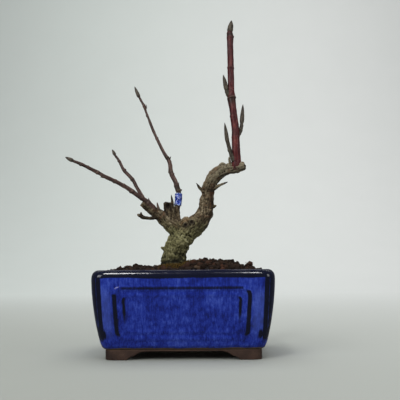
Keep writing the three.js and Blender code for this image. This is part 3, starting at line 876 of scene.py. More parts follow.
def store_glaze_marks(pot):
    """Where the glaze is thin and dark or pooled, where a pale reflection is painted along the rim's top edge,
    and where the clay is bare.
    """
    points = in_pot(points_of(pot))
    outside = outward_share(pot)
    outer, inner, outward, round_corner = panel_lines(points)
    z = points[:, 2]
    slow = wander(points, 14, 1)
    line_top = np.where(points[:, 0] > 0, 54, 51.5)
    upright = falling(z, line_top, 2.5) * rising(z, 16, 4) * rising(outward, -4.5, 2)
    level = rising(z, 52, 1.5) * falling(outward, -3, 3)
    violet = bell(round_corner, 3.8, 0.45) * rising(z, 16, 10)
    dark = (
        outer**0.7 * np.clip(upright + level * 0.7, 0, 1),
        inner * rising(z, 20, 16) * falling(z, 49.5, 3) * 0.9,
        rising(round_corner, -0.6, 1.2) * np.clip((z - 10) / 8, 0.2, 1) * (1 - 0.42 * violet),
        bell(outward, 9.8, 2.4) * bell(z, 19.5, 4.5),
        rising(z + slow * 1.3, 60.8, 1.6),
        falling(z - slow * 0.9, 12, 1.6) * 0.5,
    )
    remember(pot, "thin_glaze", np.maximum.reduce(dark) * np.maximum(outside, z > 60))
    remember(pot, "pooled", rising(outward, 1.5, 3) * falling(z, 56, 8) * rising(z, 14, 12))
    # Painted reflection: a thin pale line along the rim's top edge.
    remember(pot, "rim_line", np.clip(1 - np.abs(z - 67.97) / 0.2, 0, 1) * 0.5)
    remember(pot, "bare", falling(z - slow * 0.8, 9.7, 1.1))


def foot_ring():
    """Bare clay ring under the pot, cut away between four cloud feet, with the pot's underside inside it."""
    ring = block("foot_ring", 120.4, 87, 0, 8.2, 7, 6)
    pick(ring, "faces", lambda face: face.normal.z < -0.9)
    bpy.ops.mesh.inset(thickness=9 * MM)
    bpy.ops.mesh.extrude_region_move(TRANSFORM_OT_translate={"value": (0, 0, 7.2 * MM)})
    face_outwards(ring)
    for span, lengthwise in ((43, False), (27, True)):
        arch = cloud_arch(span, lengthwise)
        modify(ring, "BOOLEAN", operation="DIFFERENCE", object=arch, solver="EXACT")
        discard(arch)
    for side in (-1, 1):
        drill(ring, side * DRAIN_SPREAD, DRAIN_RADIUS - 0.1)
    modify(ring, "REMESH", mode="VOXEL", voxel_size=0.75 * MM)
    modify(ring, "SMOOTH", factor=0.6, iterations=4)
    roughen(ring, "CLOUDS", 7, 0.35)
    roughen(ring, "CLOUDS", 1.6, 0.18)
    mark_relief(ring, 4)
    smooth(ring)
    return ring


def cloud_arch(span, lengthwise):
    """A bar with the outline of the gap between two cloud feet, from front to back or along the pot."""
    outline = [(0, -2), (0, 0.1), (1.4, 1.7), (3.6, 2.6), (5.4, 2.9), (6.8, 3.8), (8.6, 5.1)]
    outline += [(11, 6), (14, 6.4)]
    outline = [(step - span, rise) for step, rise in outline]
    outline += [(-step, rise) for step, rise in reversed(outline)]
    length = 200 * MM
    deselect()
    bpy.ops.mesh.primitive_circle_add(vertices=len(outline), radius=1, fill_type="NGON", location=(0, 0, 0))
    arch = bpy.context.object
    for vert, (step, rise) in zip(arch.data.vertices, outline):
        side, along = step * MM, -length / 2
        x, y = (along, side) if lengthwise else (side, along)
        vert.co = (POT_FOOT.x + x, POT_FOOT.y + y, rise * MM)
    pick(arch, "faces", lambda face: True)
    reach = (length, 0, 0) if lengthwise else (0, length, 0)
    bpy.ops.mesh.extrude_region_move(TRANSFORM_OT_translate={"value": reach})
    face_outwards(arch)
    return arch


# What fills the pot

SOIL_EDGE = 65
SOIL_HALF = (64.3, 45.8)
SOIL_CORNER = 7
SOIL_DOME = 5.4
SOIL_HEAP = 4.4


def soil_height(x, y):
    """The heap of soil over the rim, highest to the right of the trunk, in millimetres."""
    across = min(abs(x) / SOIL_HALF[0], 1)
    back = min(abs(y) / SOIL_HALF[1], 1)
    dome = SOIL_DOME * (1 - across**2.4) ** 0.6 * math.sqrt(1 - back**2)
    climb = min(max((x + 2) / 9, 0), 1)
    drop = min(max((x - 37) / 15, 0), 1)
    heap = SOIL_HEAP * climb * (2 - climb) * (1 - drop * drop * (3 - 2 * drop)) * (1 - back**4)
    clump = 5.5 * math.exp(-(((x - 53) / 2.8) ** 2) - ((y + 8) / 7) ** 2)
    mound = 1.3 * math.exp(-(((x + 43) / 7) ** 2) - ((y + 10) / 12) ** 2)
    return SOIL_EDGE - 0.6 + dome + heap + clump + mound


def within_pot(x, y, margin):
    """Whether a place lies inside the pot's wall, its corners rounded."""
    over_x = max(abs(x) - SOIL_HALF[0] + SOIL_CORNER, 0)
    over_y = max(abs(y) - SOIL_HALF[1] + SOIL_CORNER, 0)
    inside = abs(x) < SOIL_HALF[0] - margin and abs(y) < SOIL_HALF[1] - margin
    return inside and math.hypot(over_x, over_y) < SOIL_CORNER - margin


def soil_bed():
    """The solid heap that the top granules lie in."""
    bed = block("soil_bed", 2 * SOIL_HALF[0], 2 * SOIL_HALF[1], 26, 64, SOIL_CORNER, 5)
    for axis in (0, 1):
        for step in range(-11, 12):
            cut_across(bed, axis, SOIL_HALF[axis] / 12 * step, lambda face: face.normal.z > 0.9)
    bpy.ops.object.mode_set(mode="OBJECT")
    for vert in bed.data.vertices:
        x, y, z = (vert.co - POT_FOOT) / MM
        if z > 60:
            vert.co.z = (soil_height(x, y) - 1.2) * MM
        else:
            vert.co.x, vert.co.y = POT_FOOT.x + x * 0.93 * MM, POT_FOOT.y + y * 0.92 * MM
    roughen(bed, "CLOUDS", 4, 0.8)
    remember(bed, "crumb", np.full(len(bed.data.vertices), 0.12))
    smooth(bed)
    return bed


def crumb_shape(seed, lengthen):
    """One soil crumb: a block rounded off and knocked about, 1 mm across."""
    deselect()
    bpy.ops.mesh.primitive_cube_add(size=0.72, location=(0, 0, 0))
    crumb = started("crumb")
    pick(crumb, "verts", lambda vert: True)
    bpy.ops.mesh.subdivide(number_cuts=1, smoothness=1.0)
    bpy.ops.transform.vertex_random(offset=0.16, seed=seed)
    bpy.ops.transform.resize(value=(lengthen, 1, 0.85), center_override=(0, 0, 0))
    bpy.ops.object.mode_set(mode="OBJECT")
    return crumb


def scattered(name, shapes, spots):
    """Copies of a few shapes in one piece; each spot is a shape's number, a matrix and a tone."""
    points, faces, tones, count = [], [], [], 0
    for number, matrix, tone in spots:
        shape = shapes[number].data
        local = np.array([vert.co for vert in shape.vertices])
        placed = local @ np.array(matrix.to_3x3()).T + np.array(matrix.translation)
        points.append(placed)
        faces += [[count + corner for corner in face.vertices] for face in shape.polygons]
        tones.append(np.full(len(placed), tone))
        count += len(placed)
    mesh = bpy.data.meshes.new(name)
    mesh.from_pydata(np.concatenate(points).tolist(), [], faces)
    piece = bpy.data.objects.new(name, mesh)
    bpy.context.scene.collection.objects.link(piece)
    remember(piece, "crumb", np.concatenate(tones))
    return piece


TRUNK_FOOT = (-10.5, 0.3, 10.6)
MOSS_MIDDLE = (-8, -20)
MOSS_REACH = 13.5


def in_moss(x, y):
    """How far out from the middle of the moss a place is, as a share of its size."""
    return math.hypot((x - MOSS_MIDDLE[0]) / MOSS_REACH, (y - MOSS_MIDDLE[1]) / MOSS_REACH)


def set_down(x, y, z, angles, size):
    """Takes a shape that is 1 across to a place in millimetres, at this size and turned by these angles."""
    return Matrix.Translation(place(x, y, z)) @ Euler(angles).to_matrix().to_4x4() @ Matrix.Scale(size * MM, 4)


def granules():
    """Loose crumbs all over the heap, in three sizes, packed close, with slivers of moss and root."""
    chance = random.Random(11)
    lengthened = (1, 1.25, 0.9, 1.1, 1.4)
    shapes = [crumb_shape(seed, longer) for seed, longer in enumerate(lengthened, 1)]
    spots, taken = [], {}

    def free(x, y, reach):
        cell = (int(x // 4), int(y // 4))
        for i in (-1, 0, 1):
            for j in (-1, 0, 1):
                for u, v, other in taken.get((cell[0] + i, cell[1] + j), ()):
                    if math.hypot(x - u, y - v) < (reach + other) * 0.4:
                        return False
        taken.setdefault(cell, []).append((x, y, reach))
        return True

    for low, high, tries, sunk in ((3.4, 5.2, 700, 0.1), (2.2, 3.4, 3200, 0.0), (1.2, 2.2, 5200, -0.1)):
        for _ in range(tries):
            x, y = chance.uniform(-62, 62), chance.uniform(-45, 45)
            size = chance.uniform(low, high)
            away = math.hypot(x - TRUNK_FOOT[0], y - TRUNK_FOOT[1])
            if not within_pot(x, y, size * 0.45) or away < TRUNK_FOOT[2] + size * 0.3 or in_moss(x, y) < 0.85:
                continue
            if not free(x, y, size):
                continue
            angles = [chance.uniform(0, 6.28) for _ in range(3)]
            rise = soil_height(x, y) - 0.9 + size * (0.25 - sunk) + chance.uniform(-0.4, 0.7)
            tone = min(max(chance.gauss(0.45, 0.24), 0), 1)
            matrix = set_down(x, y, rise, angles, size)
            spots.append((chance.randrange(len(lengthened)), matrix, tone))
    shapes += [moss_blade(lean) for lean in (0.1, 0.3)]
    for _ in range(700):
        x, y = chance.uniform(-62, 62), chance.uniform(-45, 45)
        if not within_pot(x, y, 1.5) or math.hypot(x - TRUNK_FOOT[0], y - TRUNK_FOOT[1]) < TRUNK_FOOT[2]:
            continue
        angles = (chance.gauss(0, 0.9), chance.gauss(0, 0.9), chance.uniform(0, 6.28))
        matrix = set_down(x, y, soil_height(x, y), angles, chance.uniform(2, 4.2))
        spots.append((chance.choice((5, 6)), matrix, chance.choice((0.2, 0.6, 0.85, 0.9))))
    piece = scattered("soil_granules", shapes, spots)
    for shape in shapes:
        discard(shape)
    smooth(piece, 50)
    return piece


def moss_blade(lean):
    """One moss blade, 1 mm long: a narrow cone, bent over."""
    deselect()
    bpy.ops.mesh.primitive_cone_add(vertices=4, radius1=0.1, radius2=0.012, depth=1, location=(0, 0, 0.5))
    blade = started("blade")
    pick(blade, "faces", lambda face: True)
    bpy.ops.mesh.bisect(plane_co=(0, 0, 0.5), plane_no=(0, 0, 1))
    pick(blade, "verts", lambda vert: vert.co.z > 0.9)
    bpy.ops.transform.translate(value=(lean, 0, -0.1))
    pick(blade, "verts", lambda vert: 0.4 < vert.co.z < 0.6)
    bpy.ops.transform.translate(value=(lean * 0.3, 0, 0))
    bpy.ops.object.mode_set(mode="OBJECT")
    return blade


def moss():
    """A cushion of short moss and brown fibre against the front of the trunk."""
    deselect()
    bpy.ops.mesh.primitive_uv_sphere_add(segments=32, ring_count=16, radius=1, location=(0, 0, 0))
    cushion = started("moss_cushion")
    for vert in cushion.data.vertices:
        x, y = MOSS_MIDDLE[0] + vert.co.x * MOSS_REACH * 0.95, MOSS_MIDDLE[1] + vert.co.y * MOSS_REACH * 0.95
        vert.co = place(x, y, soil_height(x, y) - 1 + vert.co.z * 3)
    roughen(cushion, "CLOUDS", 4, 1.4)
    remember(cushion, "crumb", np.full(len(cushion.data.vertices), 0.2))
    smooth(cushion)
    chance = random.Random(23)
    blades = [moss_blade(lean) for lean in (0.15, 0.35, 0.6)]
    spots = []
    for _ in range(2600):
        angle, out = chance.uniform(0, 6.28), math.sqrt(chance.random())
        x, y = MOSS_MIDDLE[0] + 14.5 * out * math.cos(angle), MOSS_MIDDLE[1] + 14.5 * out * math.sin(angle)
        if math.hypot(x - TRUNK_FOOT[0], y - TRUNK_FOOT[1]) < TRUNK_FOOT[2] - 1:
            continue
        rise = soil_height(x, y) - 0.8 + 2.8 * math.sqrt(1 - out * out)
        angles = (chance.gauss(0, 0.5), chance.gauss(0, 0.5), chance.uniform(0, 6.28))
        matrix = set_down(x, y, rise, angles, chance.uniform(1.1, 2.8))
        spots.append((chance.randrange(3), matrix, min(max(chance.gauss(0.45, 0.28), 0), 1)))
    fibres = scattered("moss_fibres", blades, spots)
    for blade in blades:
        discard(blade)
    smooth(fibres)
    return cushion, fibres


# The tree. Each point is x, y, z and radius in millimetres.

TRUNK = [
    (-12, 1, 52, 11.5), (-10.8, 1, 64, 11.2), (-9.8, 0, 74, 10.2), (-8, 0, 85, 9.7), (-3, 0, 95, 9.9),
    (2, 0.5, 102, 10.2), (7, 1, 107, 9.3),
]
LIMB = [
    (1, 0.5, 100, 9.6), (8, 1.5, 105, 9), (14.9, 3, 112, 7.6), (17.8, 5, 121, 6.2), (19.1, 6, 131, 5.3),
    (20.2, 6, 138, 5.4), (23.6, 5, 145, 5.9), (28.4, 3, 150.2, 5.8), (34, 0, 153, 5.1), (41, -3, 153.8, 4.6),
    (47, -5, 154.4, 4), (51, -6, 155.3, 3.4),
]
BRANCH = [
    (-3, 0, 99, 8), (-9.5, -0.5, 104, 7.2), (-15.6, -2, 109.3, 6), (-22, -4, 114.6, 4.8),
    (-27.8, -6, 118.6, 4.1), (-31.6, -8, 121.4, 3.6), (-34.8, -9, 124.4, 3),
]
STUMP = [(-9.5, 0, 104, 6.5), (-12.4, -1.5, 112, 5), (-13.4, -2.5, 119, 4.3), (-13.8, -3, 125, 4.1)]
COLLAR = [(-8.5, 1, 104, 6), (-8, 2.6, 112.5, 4.2), (-7.6, 2.8, 118, 3.2), (-6.8, 3, 122, 2.3)]
STUBS = {
    "left_stub": [
        (-23, -4.6, 112.4, 2.4), (-28, -8, 111.2, 1.7), (-32.4, -11, 111.2, 1.5), (-35.4, -13.2, 111.8, 1.7),
        (-36.6, -13.8, 112.6, 1.2),
    ],
    "left_stub_knob": [(-35.2, -13.2, 112.4, 1.5), (-35.8, -13.6, 114.4, 1.2), (-36.2, -13.8, 115.6, 0.8)],
    "left_stub_tip": [(-35.8, -13.4, 112.2, 1.4), (-37.8, -14.2, 113.2, 1.1), (-38.9, -14.6, 113.8, 0.7)],
    "inner_stub": [(16.5, 4, 134.6, 2.3), (13.4, 3, 136.9, 1.5), (11.2, 2, 139.6, 1.2), (9.8, 1, 141.8, 0.7)],
    "outer_stub": [(24, 4, 137.2, 2.6), (29, 2, 139.5, 1.7), (33, 1, 141, 1.2), (36.9, 0, 142.6, 0.8)],
    "collar_thorn": [
        (-10.7, 0, 122, 1.5), (-10.8, 0, 126, 1.2), (-11.2, -0.6, 129.5, 0.9), (-11.6, -1, 132.4, 0.3),
    ],
    "limb_spur": [(23.4, 4, 121.4, 1.6), (25.4, 4, 122.2, 1), (26.6, 4, 122.9, 0.5)],
    "limb_bud": [(38.9, -5, 157, 1.6), (38.4, -5.6, 160.4, 1.3), (38.1, -6, 163.6, 0.4)],
    "foot_spur": [(-16.6, -1, 85.4, 1.9), (-18.8, -1.4, 86.2, 1.2), (-20.2, -1.6, 86.9, 0.6)],
}


# Where stems meet and the surface is pulled in: x, y, z and reach.
CROTCHES = [(-6, 0, 107, 8), (-14, -1, 108, 7), (-9.5, 0, 112, 5), (44, -4, 157, 4), (12, 2, 108, 8)]
# Burrs, and pits with a height below 0: the middle, the reach and the height.
BURRS = [
    ((32, 1, 158.5), 4.2, 1.6), ((-17.5, -1, 86), 3.2, 0.3), ((24, 4, 122), 3, 0.3), ((24.3, 3, 114), 5, 1.6),
    ((0.9, -9.4, 105.2), 3.4, 1.5), ((0.9, -10.6, 105.2), 1.9, -2.3), ((6, -8.6, 107.7), 3.4, 1.4),
    ((6, -9.8, 107.7), 2.1, -2.3), ((-13.9, -3, 126), 3, -2.4), ((-14.4, -7, 121.8), 3.2, -2.6),
    ((51.6, -6, 155.6), 2.2, -1.0), ((-3, -10.5, 90), 7, 0.8), ((-13, -9.6, 80), 6, 0.7),
    ((-2, -8, 79), 5, -0.7), ((-11, -9, 97), 5, -0.6),
]
# Dark cut wood: x, y, z and reach.
CUTS = [
    (-13.9, -3, 125.8, 3.2), (-14.4, -6.8, 121.6, 5), (51.8, -6, 155.7, 2.8), (-35.6, -9.3, 125.2, 2.6),
    (0.9, -10, 105.2, 3), (6, -9.2, 107.7, 3.3), (-36, -13.4, 112.8, 3.4), (-11.2, -0.6, 129.4, 4.4),
    (10.6, 1.6, 140.4, 3.2), (35.6, 0.4, 142, 3.4), (27.6, 4, 123, 1.4),
]


def thick_bark(ridges, cracks):
    """Old bark: slow lumps, ridges that run round the stem, and cracks that run along it."""

    def dress(piece):
        roughen(piece, "CLOUDS", 7, 1.6)
        roughen(piece, "CLOUDS", 2.4, ridges, stretch=(3, 3, 0.8), noise_depth=2)
        ridged = {"musgrave_type": "RIDGED_MULTIFRACTAL"}
        roughen(piece, "MUSGRAVE", 2.6, cracks, stretch=(1, 1, 4), level=0.6, **ridged)

    return dress


def old_wood():
    """Trunk, limb and branch as separate stems, remeshed into one and then worked at the listed places."""
    parts = [
        stem("trunk_stem", TRUNK, 18, 2.6, 2, thick_bark(1.7, 0.8)),
        stem("limb_stem", LIMB, 16, 2.4, 2, thick_bark(0.9, 0.7)),
        stem("branch_stem", BRANCH, 14, 2.2, 2, thick_bark(0.7, 0.6)),
        stem("stump_stem", STUMP, 12, 1.8, 2, thick_bark(0.3, 0.8)),
        stem("collar_stem", COLLAR, 12, 1.8, 2, thick_bark(0.3, 0.5)),
    ]
    parts += [stem(name, path, 8, 1.2, 1, thick_bark(0.3, 0.2)) for name, path in STUBS.items()]
    wood = joined("old_wood", parts)
    source, grain = points_of(wood), vectors_of(wood, "grain")
    modify(wood, "REMESH", mode="VOXEL", voxel_size=0.42 * MM)
    points = in_pot(points_of(wood))
    near = np.zeros(len(points))
    for x, y, z, reach in CROTCHES:
        near = np.maximum(near, np.clip(1.3 - np.linalg.norm(points - (x, y, z), axis=1) / reach, 0, 1))
    weigh(wood, "crotches", near)
    modify(wood, "SMOOTH", factor=0.5, iterations=14, vertex_group="crotches")
    modify(wood, "SMOOTH", factor=0.5, iterations=1)
    for at, reach, height in BURRS:
        swell(wood, at, reach, height)
    roughen(wood, "VORONOI", 1.5, 0.4, level=0.4)
    keep_grain(wood, source, grain)
    mark_relief(wood, 5)
    points = in_pot(points_of(wood))
    cut = np.zeros(len(points))
    for x, y, z, reach in CUTS:
        cut = np.maximum(cut, np.clip(1.6 - 1.6 * np.linalg.norm(points - (x, y, z), axis=1) / reach, 0, 1))
    remember(wood, "cut_wood", np.clip(cut, 0, 1))
    normals = points_of(wood, "normal")
    x, y, z = points.T
    # Painted shade: sides turned right and down are stored as darker; the stump and the branch's top as a
    # darker tint.
    dim = 0.75 * normals[:, 0] - 0.7 * normals[:, 2] + 0.15
    stump = np.clip(1.6 - np.abs(x + 13.4) / 4, 0, 1) * np.clip((z - 111) / 5, 0, 1) * (y < 1)
    branch_top = np.clip((-13 - x) / 4, 0, 1) * np.clip(normals[:, 2] * 1.6, 0, 1) * (z > 110)
    remember(wood, "dim_side", np.clip(np.maximum.reduce([dim, stump, branch_top]), 0, 1))
    smooth(wood)
    return wood


ROOTS = [
    (200, 34, 20, 4.4), (262, 24, 17, 3.8), (325, 38, 18, 4.2), (30, 40, 22, 4.4), (95, 26, 19, 3.9),
    (150, 32, 24, 4),
]


def main_roots():
    """Roots that leave the trunk under the soil: heading in degrees, reach, drop and radius."""
    parts = []
    for heading, reach, drop, radius in ROOTS:
        angle = math.radians(heading)
        ahead, aside = reach * math.cos(angle), reach * math.sin(angle)
        taper = [(0.1, 0, radius + 1.5), (0.35, 0.15, radius)]
        taper += [(0.65, 0.45, radius * 0.65), (1, 1, radius * 0.3)]
        path = [
            (-11 + share * ahead, 1 + share * aside, 61 - fall * drop, thick) for share, fall, thick in taper
        ]
        parts.append(stem("root", path, 10, 3, 1, thick_bark(0.4, 0.3)))
    roots = joined("main_roots", parts)
    mark_relief(roots, 3)
    remember(roots, "cut_wood", np.zeros(len(roots.data.vertices)))
    remember(roots, "dim_side", np.zeros(len(roots.data.vertices)))
    smooth(roots)
    return roots


MIDDLE_SHOOT = [
    (-7, 3, 117.5, 2.1), (-6.4, 3, 121, 2.15), (-5.8, 3.6, 128, 2.1), (-5.5, 4, 133.8, 2.2),
    (-7, 5, 139.4, 2.35), (-9, 6.3, 145, 2.05), (-12, 8, 151.3, 2.1), (-13.6, 10, 161.2, 1.8),
    (-14.8, 11, 164.4, 1.75), (-16.6, 12, 167, 1.6), (-26.5, 17, 186.8, 1.35), (-35.4, 22, 209.4, 1.15),
    (-38, 23, 217, 1.4), (-40, 23.5, 220.5, 1.05), (-42.6, 24.1, 225.4, 0.95),
]
LEFT_LONG_SHOOT = [
    (-24.5, -8, 118.2, 2.2), (-29, -9.4, 122.6, 2.35), (-32.4, -10, 125.6, 2.15), (-37.6, -11, 129, 2),
    (-44.6, -12.6, 134.2, 2.05), (-51.4, -14, 138.4, 1.75), (-58, -16, 141.9, 1.75), (-65.8, -18, 145.4, 1.6),
    (-72.6, -20, 149.2, 1.65), (-79.3, -22, 152.5, 1.35), (-85.4, -23.6, 155.4, 1.45),
    (-91.2, -25, 157.7, 1.1),
]
LEFT_SHORT_SHOOT = [
    (-33.8, -10, 127, 1.5), (-36.2, -9.2, 130.8, 1.6), (-39.6, -7, 136.2, 1.6), (-44.8, -5, 145.2, 1.6),
    (-52, -3, 153.2, 1.45), (-57, -1, 162.5, 1.2), (-60.5, 0, 167.2, 1.05),
]
LEADER_SHOOT = [
    (43.4, -3.8, 151, 4.6), (43.9, -4.2, 155.5, 4.8), (44.1, -5, 161, 4), (43.9, -6, 169, 3.65),
    (43.7, -6.6, 179, 3.5), (43.6, -7, 187, 3.35), (42.4, -7, 198, 3.2), (41.7, -7, 205, 3.2),
    (40.6, -6, 214.6, 3.7), (40.5, -5.6, 219, 2.95), (40.5, -5, 230, 2.85), (40.5, -4, 242, 2.85),
    (40.4, -3, 258, 2.8), (40.4, -2.3, 267, 2.85), (40.4, -2, 271, 3.1), (40.2, -2, 275.4, 2.2),
    (40.3, -2, 277, 2),
]
# Rings of old bud scars: how far along the shoot, in millimetres, and how far they stand out.
NODES = {
    "middle_shoot": [
        (19, 0.35), (23, 0.3), (34.5, 0.45), (47.5, 0.3), (51, 0.45), (73, 0.3), (97, 0.3), (108, 0.4),
    ],
    "left_long_shoot": [
        (8, 0.4), (15.4, 0.35), (25, 0.55), (33, 0.3), (41.4, 0.5), (57, 0.5), (66, 0.35), (72, 0.45),
    ],
    "left_short_shoot": [(21, 0.4), (32, 0.5), (42, 0.4)],
    "leader_shoot": [(29.5, 0.4), (47, 0.3), (63.5, 0.7), (66, 0.4), (91, 0.4), (119.5, 0.5), (123, 0.3)],
}


def young_bark(nodes, wrinkle):
    """Smooth young bark: fine wrinkles along it, and a swollen ring at each node."""

    def dress(piece):
        points = points_of(piece)
        radial = points * (1, 1, 0)
        radial /= np.maximum(np.linalg.norm(radial, axis=1), 1e-9)[:, None]
        for index, (along, height) in enumerate(nodes):
            around = np.arctan2(points[:, 1], points[:, 0]) - index * 2.4
            away = (points[:, 2] / MM - along - 0.5 * np.cos(around)) / 0.8
            points += radial * (np.exp(-(away**2)) * height * (0.75 + 0.5 * np.cos(around)) * MM)[:, None]
        piece.data.vertices.foreach_set("co", points.ravel())
        piece.data.update()
        roughen(piece, "CLOUDS", 5, 0.5)
        roughen(piece, "CLOUDS", 1.2, wrinkle, stretch=(1, 1, 5), noise_depth=2)

    return dress


# Small side buds and stubs, from their foot on a shoot to their tip, with the radius of the foot.
SIDE_BUDS = {
    "middle_shoot": [
        ((-6.2, 3, 135), (-5.2, 1.6, 142.8), 1.2), ((-4.4, 3, 135.6), (-2.6, 2.6, 136.6), 1.5),
        ((-13.6, 7.8, 151.4), (-14.6, 7.6, 155.2), 1.1), ((-14.6, 10.4, 162.6), (-12.4, 9, 167), 0.9),
        ((-27, 16.6, 186.6), (-28.6, 16, 190.6), 0.9), ((-36, 22, 213), (-35.4, 20.6, 217), 0.9),
        ((-41.4, 24, 223), (-43.6, 23.4, 226.6), 0.8),
    ],
    "left_long_shoot": [
        ((-21.8, -7.6, 118), (-23, -8.6, 124.2), 1.4), ((-29.4, -9.6, 123), (-30, -10.4, 128.2), 1.1),
        ((-58, -16, 141.6), (-61.4, -17, 142.2), 1.1), ((-65.6, -18, 145), (-69, -19, 144.6), 1.3),
        ((-74.6, -20.6, 150.6), (-78.4, -21.6, 153.4), 1), ((-84, -23, 154.6), (-87.4, -24.6, 155.2), 0.8),
    ],
    "left_short_shoot": [
        ((-51, -3, 152), (-54, -3.4, 155.4), 1.1), ((-56, -1.4, 160.4), (-58.6, -1.6, 163.4), 0.8),
    ],
    "leader_shoot": [],
}


# Where a shoot's bark is old and dark: the height of the band's middle, and its reach.
OLD_BANDS = {"leader_shoot": [(211.5, 4.2), (272, 1.8)], "middle_shoot": [(138, 1.6), (166, 1.4)]}


def shoot(name, path, sides, pace):
    parts = [stem(name, path, sides, pace, 2, young_bark(NODES[name], 0.35))]
    for foot, tip, radius in SIDE_BUDS[name]:
        middle = [(a + b) / 2 for a, b in zip(foot, tip)]
        taper = [(*foot, radius), (*middle, radius * 0.8), (*tip, radius * 0.2)]
        parts.append(stem("side_bud", taper, 7, 1, 1, young_bark([(1.2, 0.2)], 0.15)))
    piece = joined(name, parts)
    mark_relief(piece, 6)
    height = in_pot(points_of(piece))[:, 2]
    bands = [np.zeros(len(height))]
    bands += [0.85 * bell(height, at, reach) for at, reach in OLD_BANDS.get(name, ())]
    remember(piece, "cut_wood", np.maximum.reduce(bands))
    smooth(piece)
    return piece


def bud_scale_shape():
    """One bud scale, 1 long and wrapped part of the way round a bud of radius 1: a pointed, hooded leaf."""
    deselect()
    bpy.ops.mesh.primitive_grid_add(x_subdivisions=8, y_subdivisions=9, size=2, location=(0, 0, 0))
    scale = started("scale")
    edge, tip = [], []
    for vert in scale.data.vertices:
        side, up = vert.co.x, (vert.co.y + 1) / 2
        wrap = side * 1.25 * (1 - up**2.6) ** 0.8 * (0.65 + 0.35 * min(up * 5, 1))
        stand = bud_girth(up) + 0.05 + 0.1 * up * up
        vert.co = (stand * math.cos(wrap), stand * math.sin(wrap), up)
        edge.append(abs(side) ** 6)
        tip.append(up)
    remember(scale, "scale_edge", np.array(edge))
    remember(scale, "towards_tip", np.array(tip))
    face_outwards(scale)
    return scale


def bud_girth(up):
    """How thick a bud is, up from its base, as a share of its greatest radius."""
    return (0.72 + 1.15 * up - 0.9 * up * up) * (1 - up**3.2) ** 0.9 + 0.02


def bud(name, base, tip, radius, scales, seed):
    """A pointed winter bud: overlapping scales round a core, from its base to its tip in millimetres."""
    chance = random.Random(seed)
    axis = place(*tip) - place(*base)
    length = axis.length
    parts = []
    deselect()
    bpy.ops.mesh.primitive_uv_sphere_add(segments=14, ring_count=12, radius=0.5, location=(0, 0, 0.5))
    core = started("core")
    for vert in core.data.vertices:
        flat = math.hypot(vert.co.x, vert.co.y) or 1
        wide = bud_girth(min(max(vert.co.z, 0), 1)) * (0 if flat == 1 else 1)
        vert.co.x, vert.co.y = vert.co.x / flat * wide, vert.co.y / flat * wide
    count = len(core.data.vertices)
    remember(core, "scale_edge", np.zeros(count))
    remember(core, "towards_tip", np.array([vert.co.z for vert in core.data.vertices]))
    parts.append(core)
    pattern = bud_scale_shape()
    for number in range(scales):
        leaf = pattern.copy()
        leaf.data = pattern.data.copy()
        bpy.context.scene.collection.objects.link(leaf)
        share = number / max(scales - 1, 1)
        tall = 0.42 + 0.5 * share + chance.uniform(-0.03, 0.03)
        wide = 1.12 - 0.1 * share
        turn = Matrix.Rotation(number * 2.4 + chance.uniform(-0.2, 0.2), 4, "Z")
        leaf.data.transform(turn @ Matrix.Diagonal((wide, wide, tall, 1)))
        parts.append(leaf)
    discard(pattern)
    for leaf in parts[1:]:
        modify(leaf, "SOLIDIFY", thickness=0.07, offset=-1)
    whole = joined(name, parts)
    remember(whole, "grain", points_of(whole) * (radius * MM, radius * MM, length))
    turn = axis.to_track_quat("Z", "Y").to_matrix().to_4x4()
    size = Matrix.Diagonal((radius * MM, radius * MM, length, 1))
    whole.data.transform(Matrix.Translation(place(*base)) @ turn @ size)
    face_outwards(whole)
    subdivided(whole, 1)
    mark_relief(whole, 3)
    smooth(whole)
    return whole


def spur(name, path, bud_from, radius, scales, seed):
    """A short side shoot that ends in a bud."""
    stalk = stem(name + "_stalk", path, 10, 1.2, 1, young_bark([(3, 0.25), (6, 0.3), (10, 0.25)], 0.25))
    count = len(stalk.data.vertices)
    remember(stalk, "scale_edge", np.zeros(count))
    remember(stalk, "towards_tip", np.zeros(count))
    tip = bud(name + "_bud", bud_from[0], bud_from[1], radius, scales, seed)
    tip.data.attributes.remove(tip.data.attributes["relief"])
    whole = joined(name, [stalk, tip])
    mark_relief(whole, 3)
    smooth(whole)
    return whole


def marker_tape():
    """Shiny film wound round the foot of the middle shoot, and crinkled."""
    line, _ = route(MIDDLE_SHOOT[1:4])
    width = 10.6 * MM
    deselect()
    low, radius = 1.7 * MM, 2.75 * MM
    bpy.ops.mesh.primitive_cylinder_add(
        vertices=48, radius=radius, depth=width, end_fill_type="NOTHING", location=(0, 0, low + width / 2)
    )
    tape = started("marker_tape_film")
    pick(tape, "faces", lambda face: True)
    for step in range(1, 24):
        bpy.ops.mesh.select_all(action="SELECT")
        bpy.ops.mesh.bisect(plane_co=(0, 0, low + width * step / 24), plane_no=(0, 0, 1))
    bpy.ops.object.mode_set(mode="OBJECT")
    roughen(tape, "VORONOI", 2.2, 0.8, stretch=(1, 1, 1.6), level=0.3)
    roughen(tape, "CLOUDS", 1.1, 0.45)
    modify(tape, "SOLIDIFY", thickness=0.16 * MM, offset=0)
    modify(tape, "CURVE", object=line, deform_axis="POS_Z")
    discard(line)
    face_outwards(tape)
    mark_relief(tape, 3)
    smooth(tape, 40)
    return tape


# Backdrop

deselect()
bpy.ops.mesh.primitive_plane_add(size=6, location=(0, 0, 0))
backdrop = started("backdrop")
pick(backdrop, "edges", lambda edge: all(vert.co.y > 2 for vert in edge.verts))
bpy.ops.mesh.extrude_region_move(TRANSFORM_OT_translate={"value": (0, 0, 3.6)})
pick(backdrop, "edges", lambda edge: all(vert.co.y > 2 and vert.co.z < 0.01 for vert in edge.verts))
bpy.ops.mesh.bevel(offset=1.6, segments=32, affect="EDGES")
bpy.ops.object.mode_set(mode="OBJECT")
smooth(backdrop)
backdrop.data.materials.append(backdrop_paper())
backdrop.visible_glossy = False

# The object

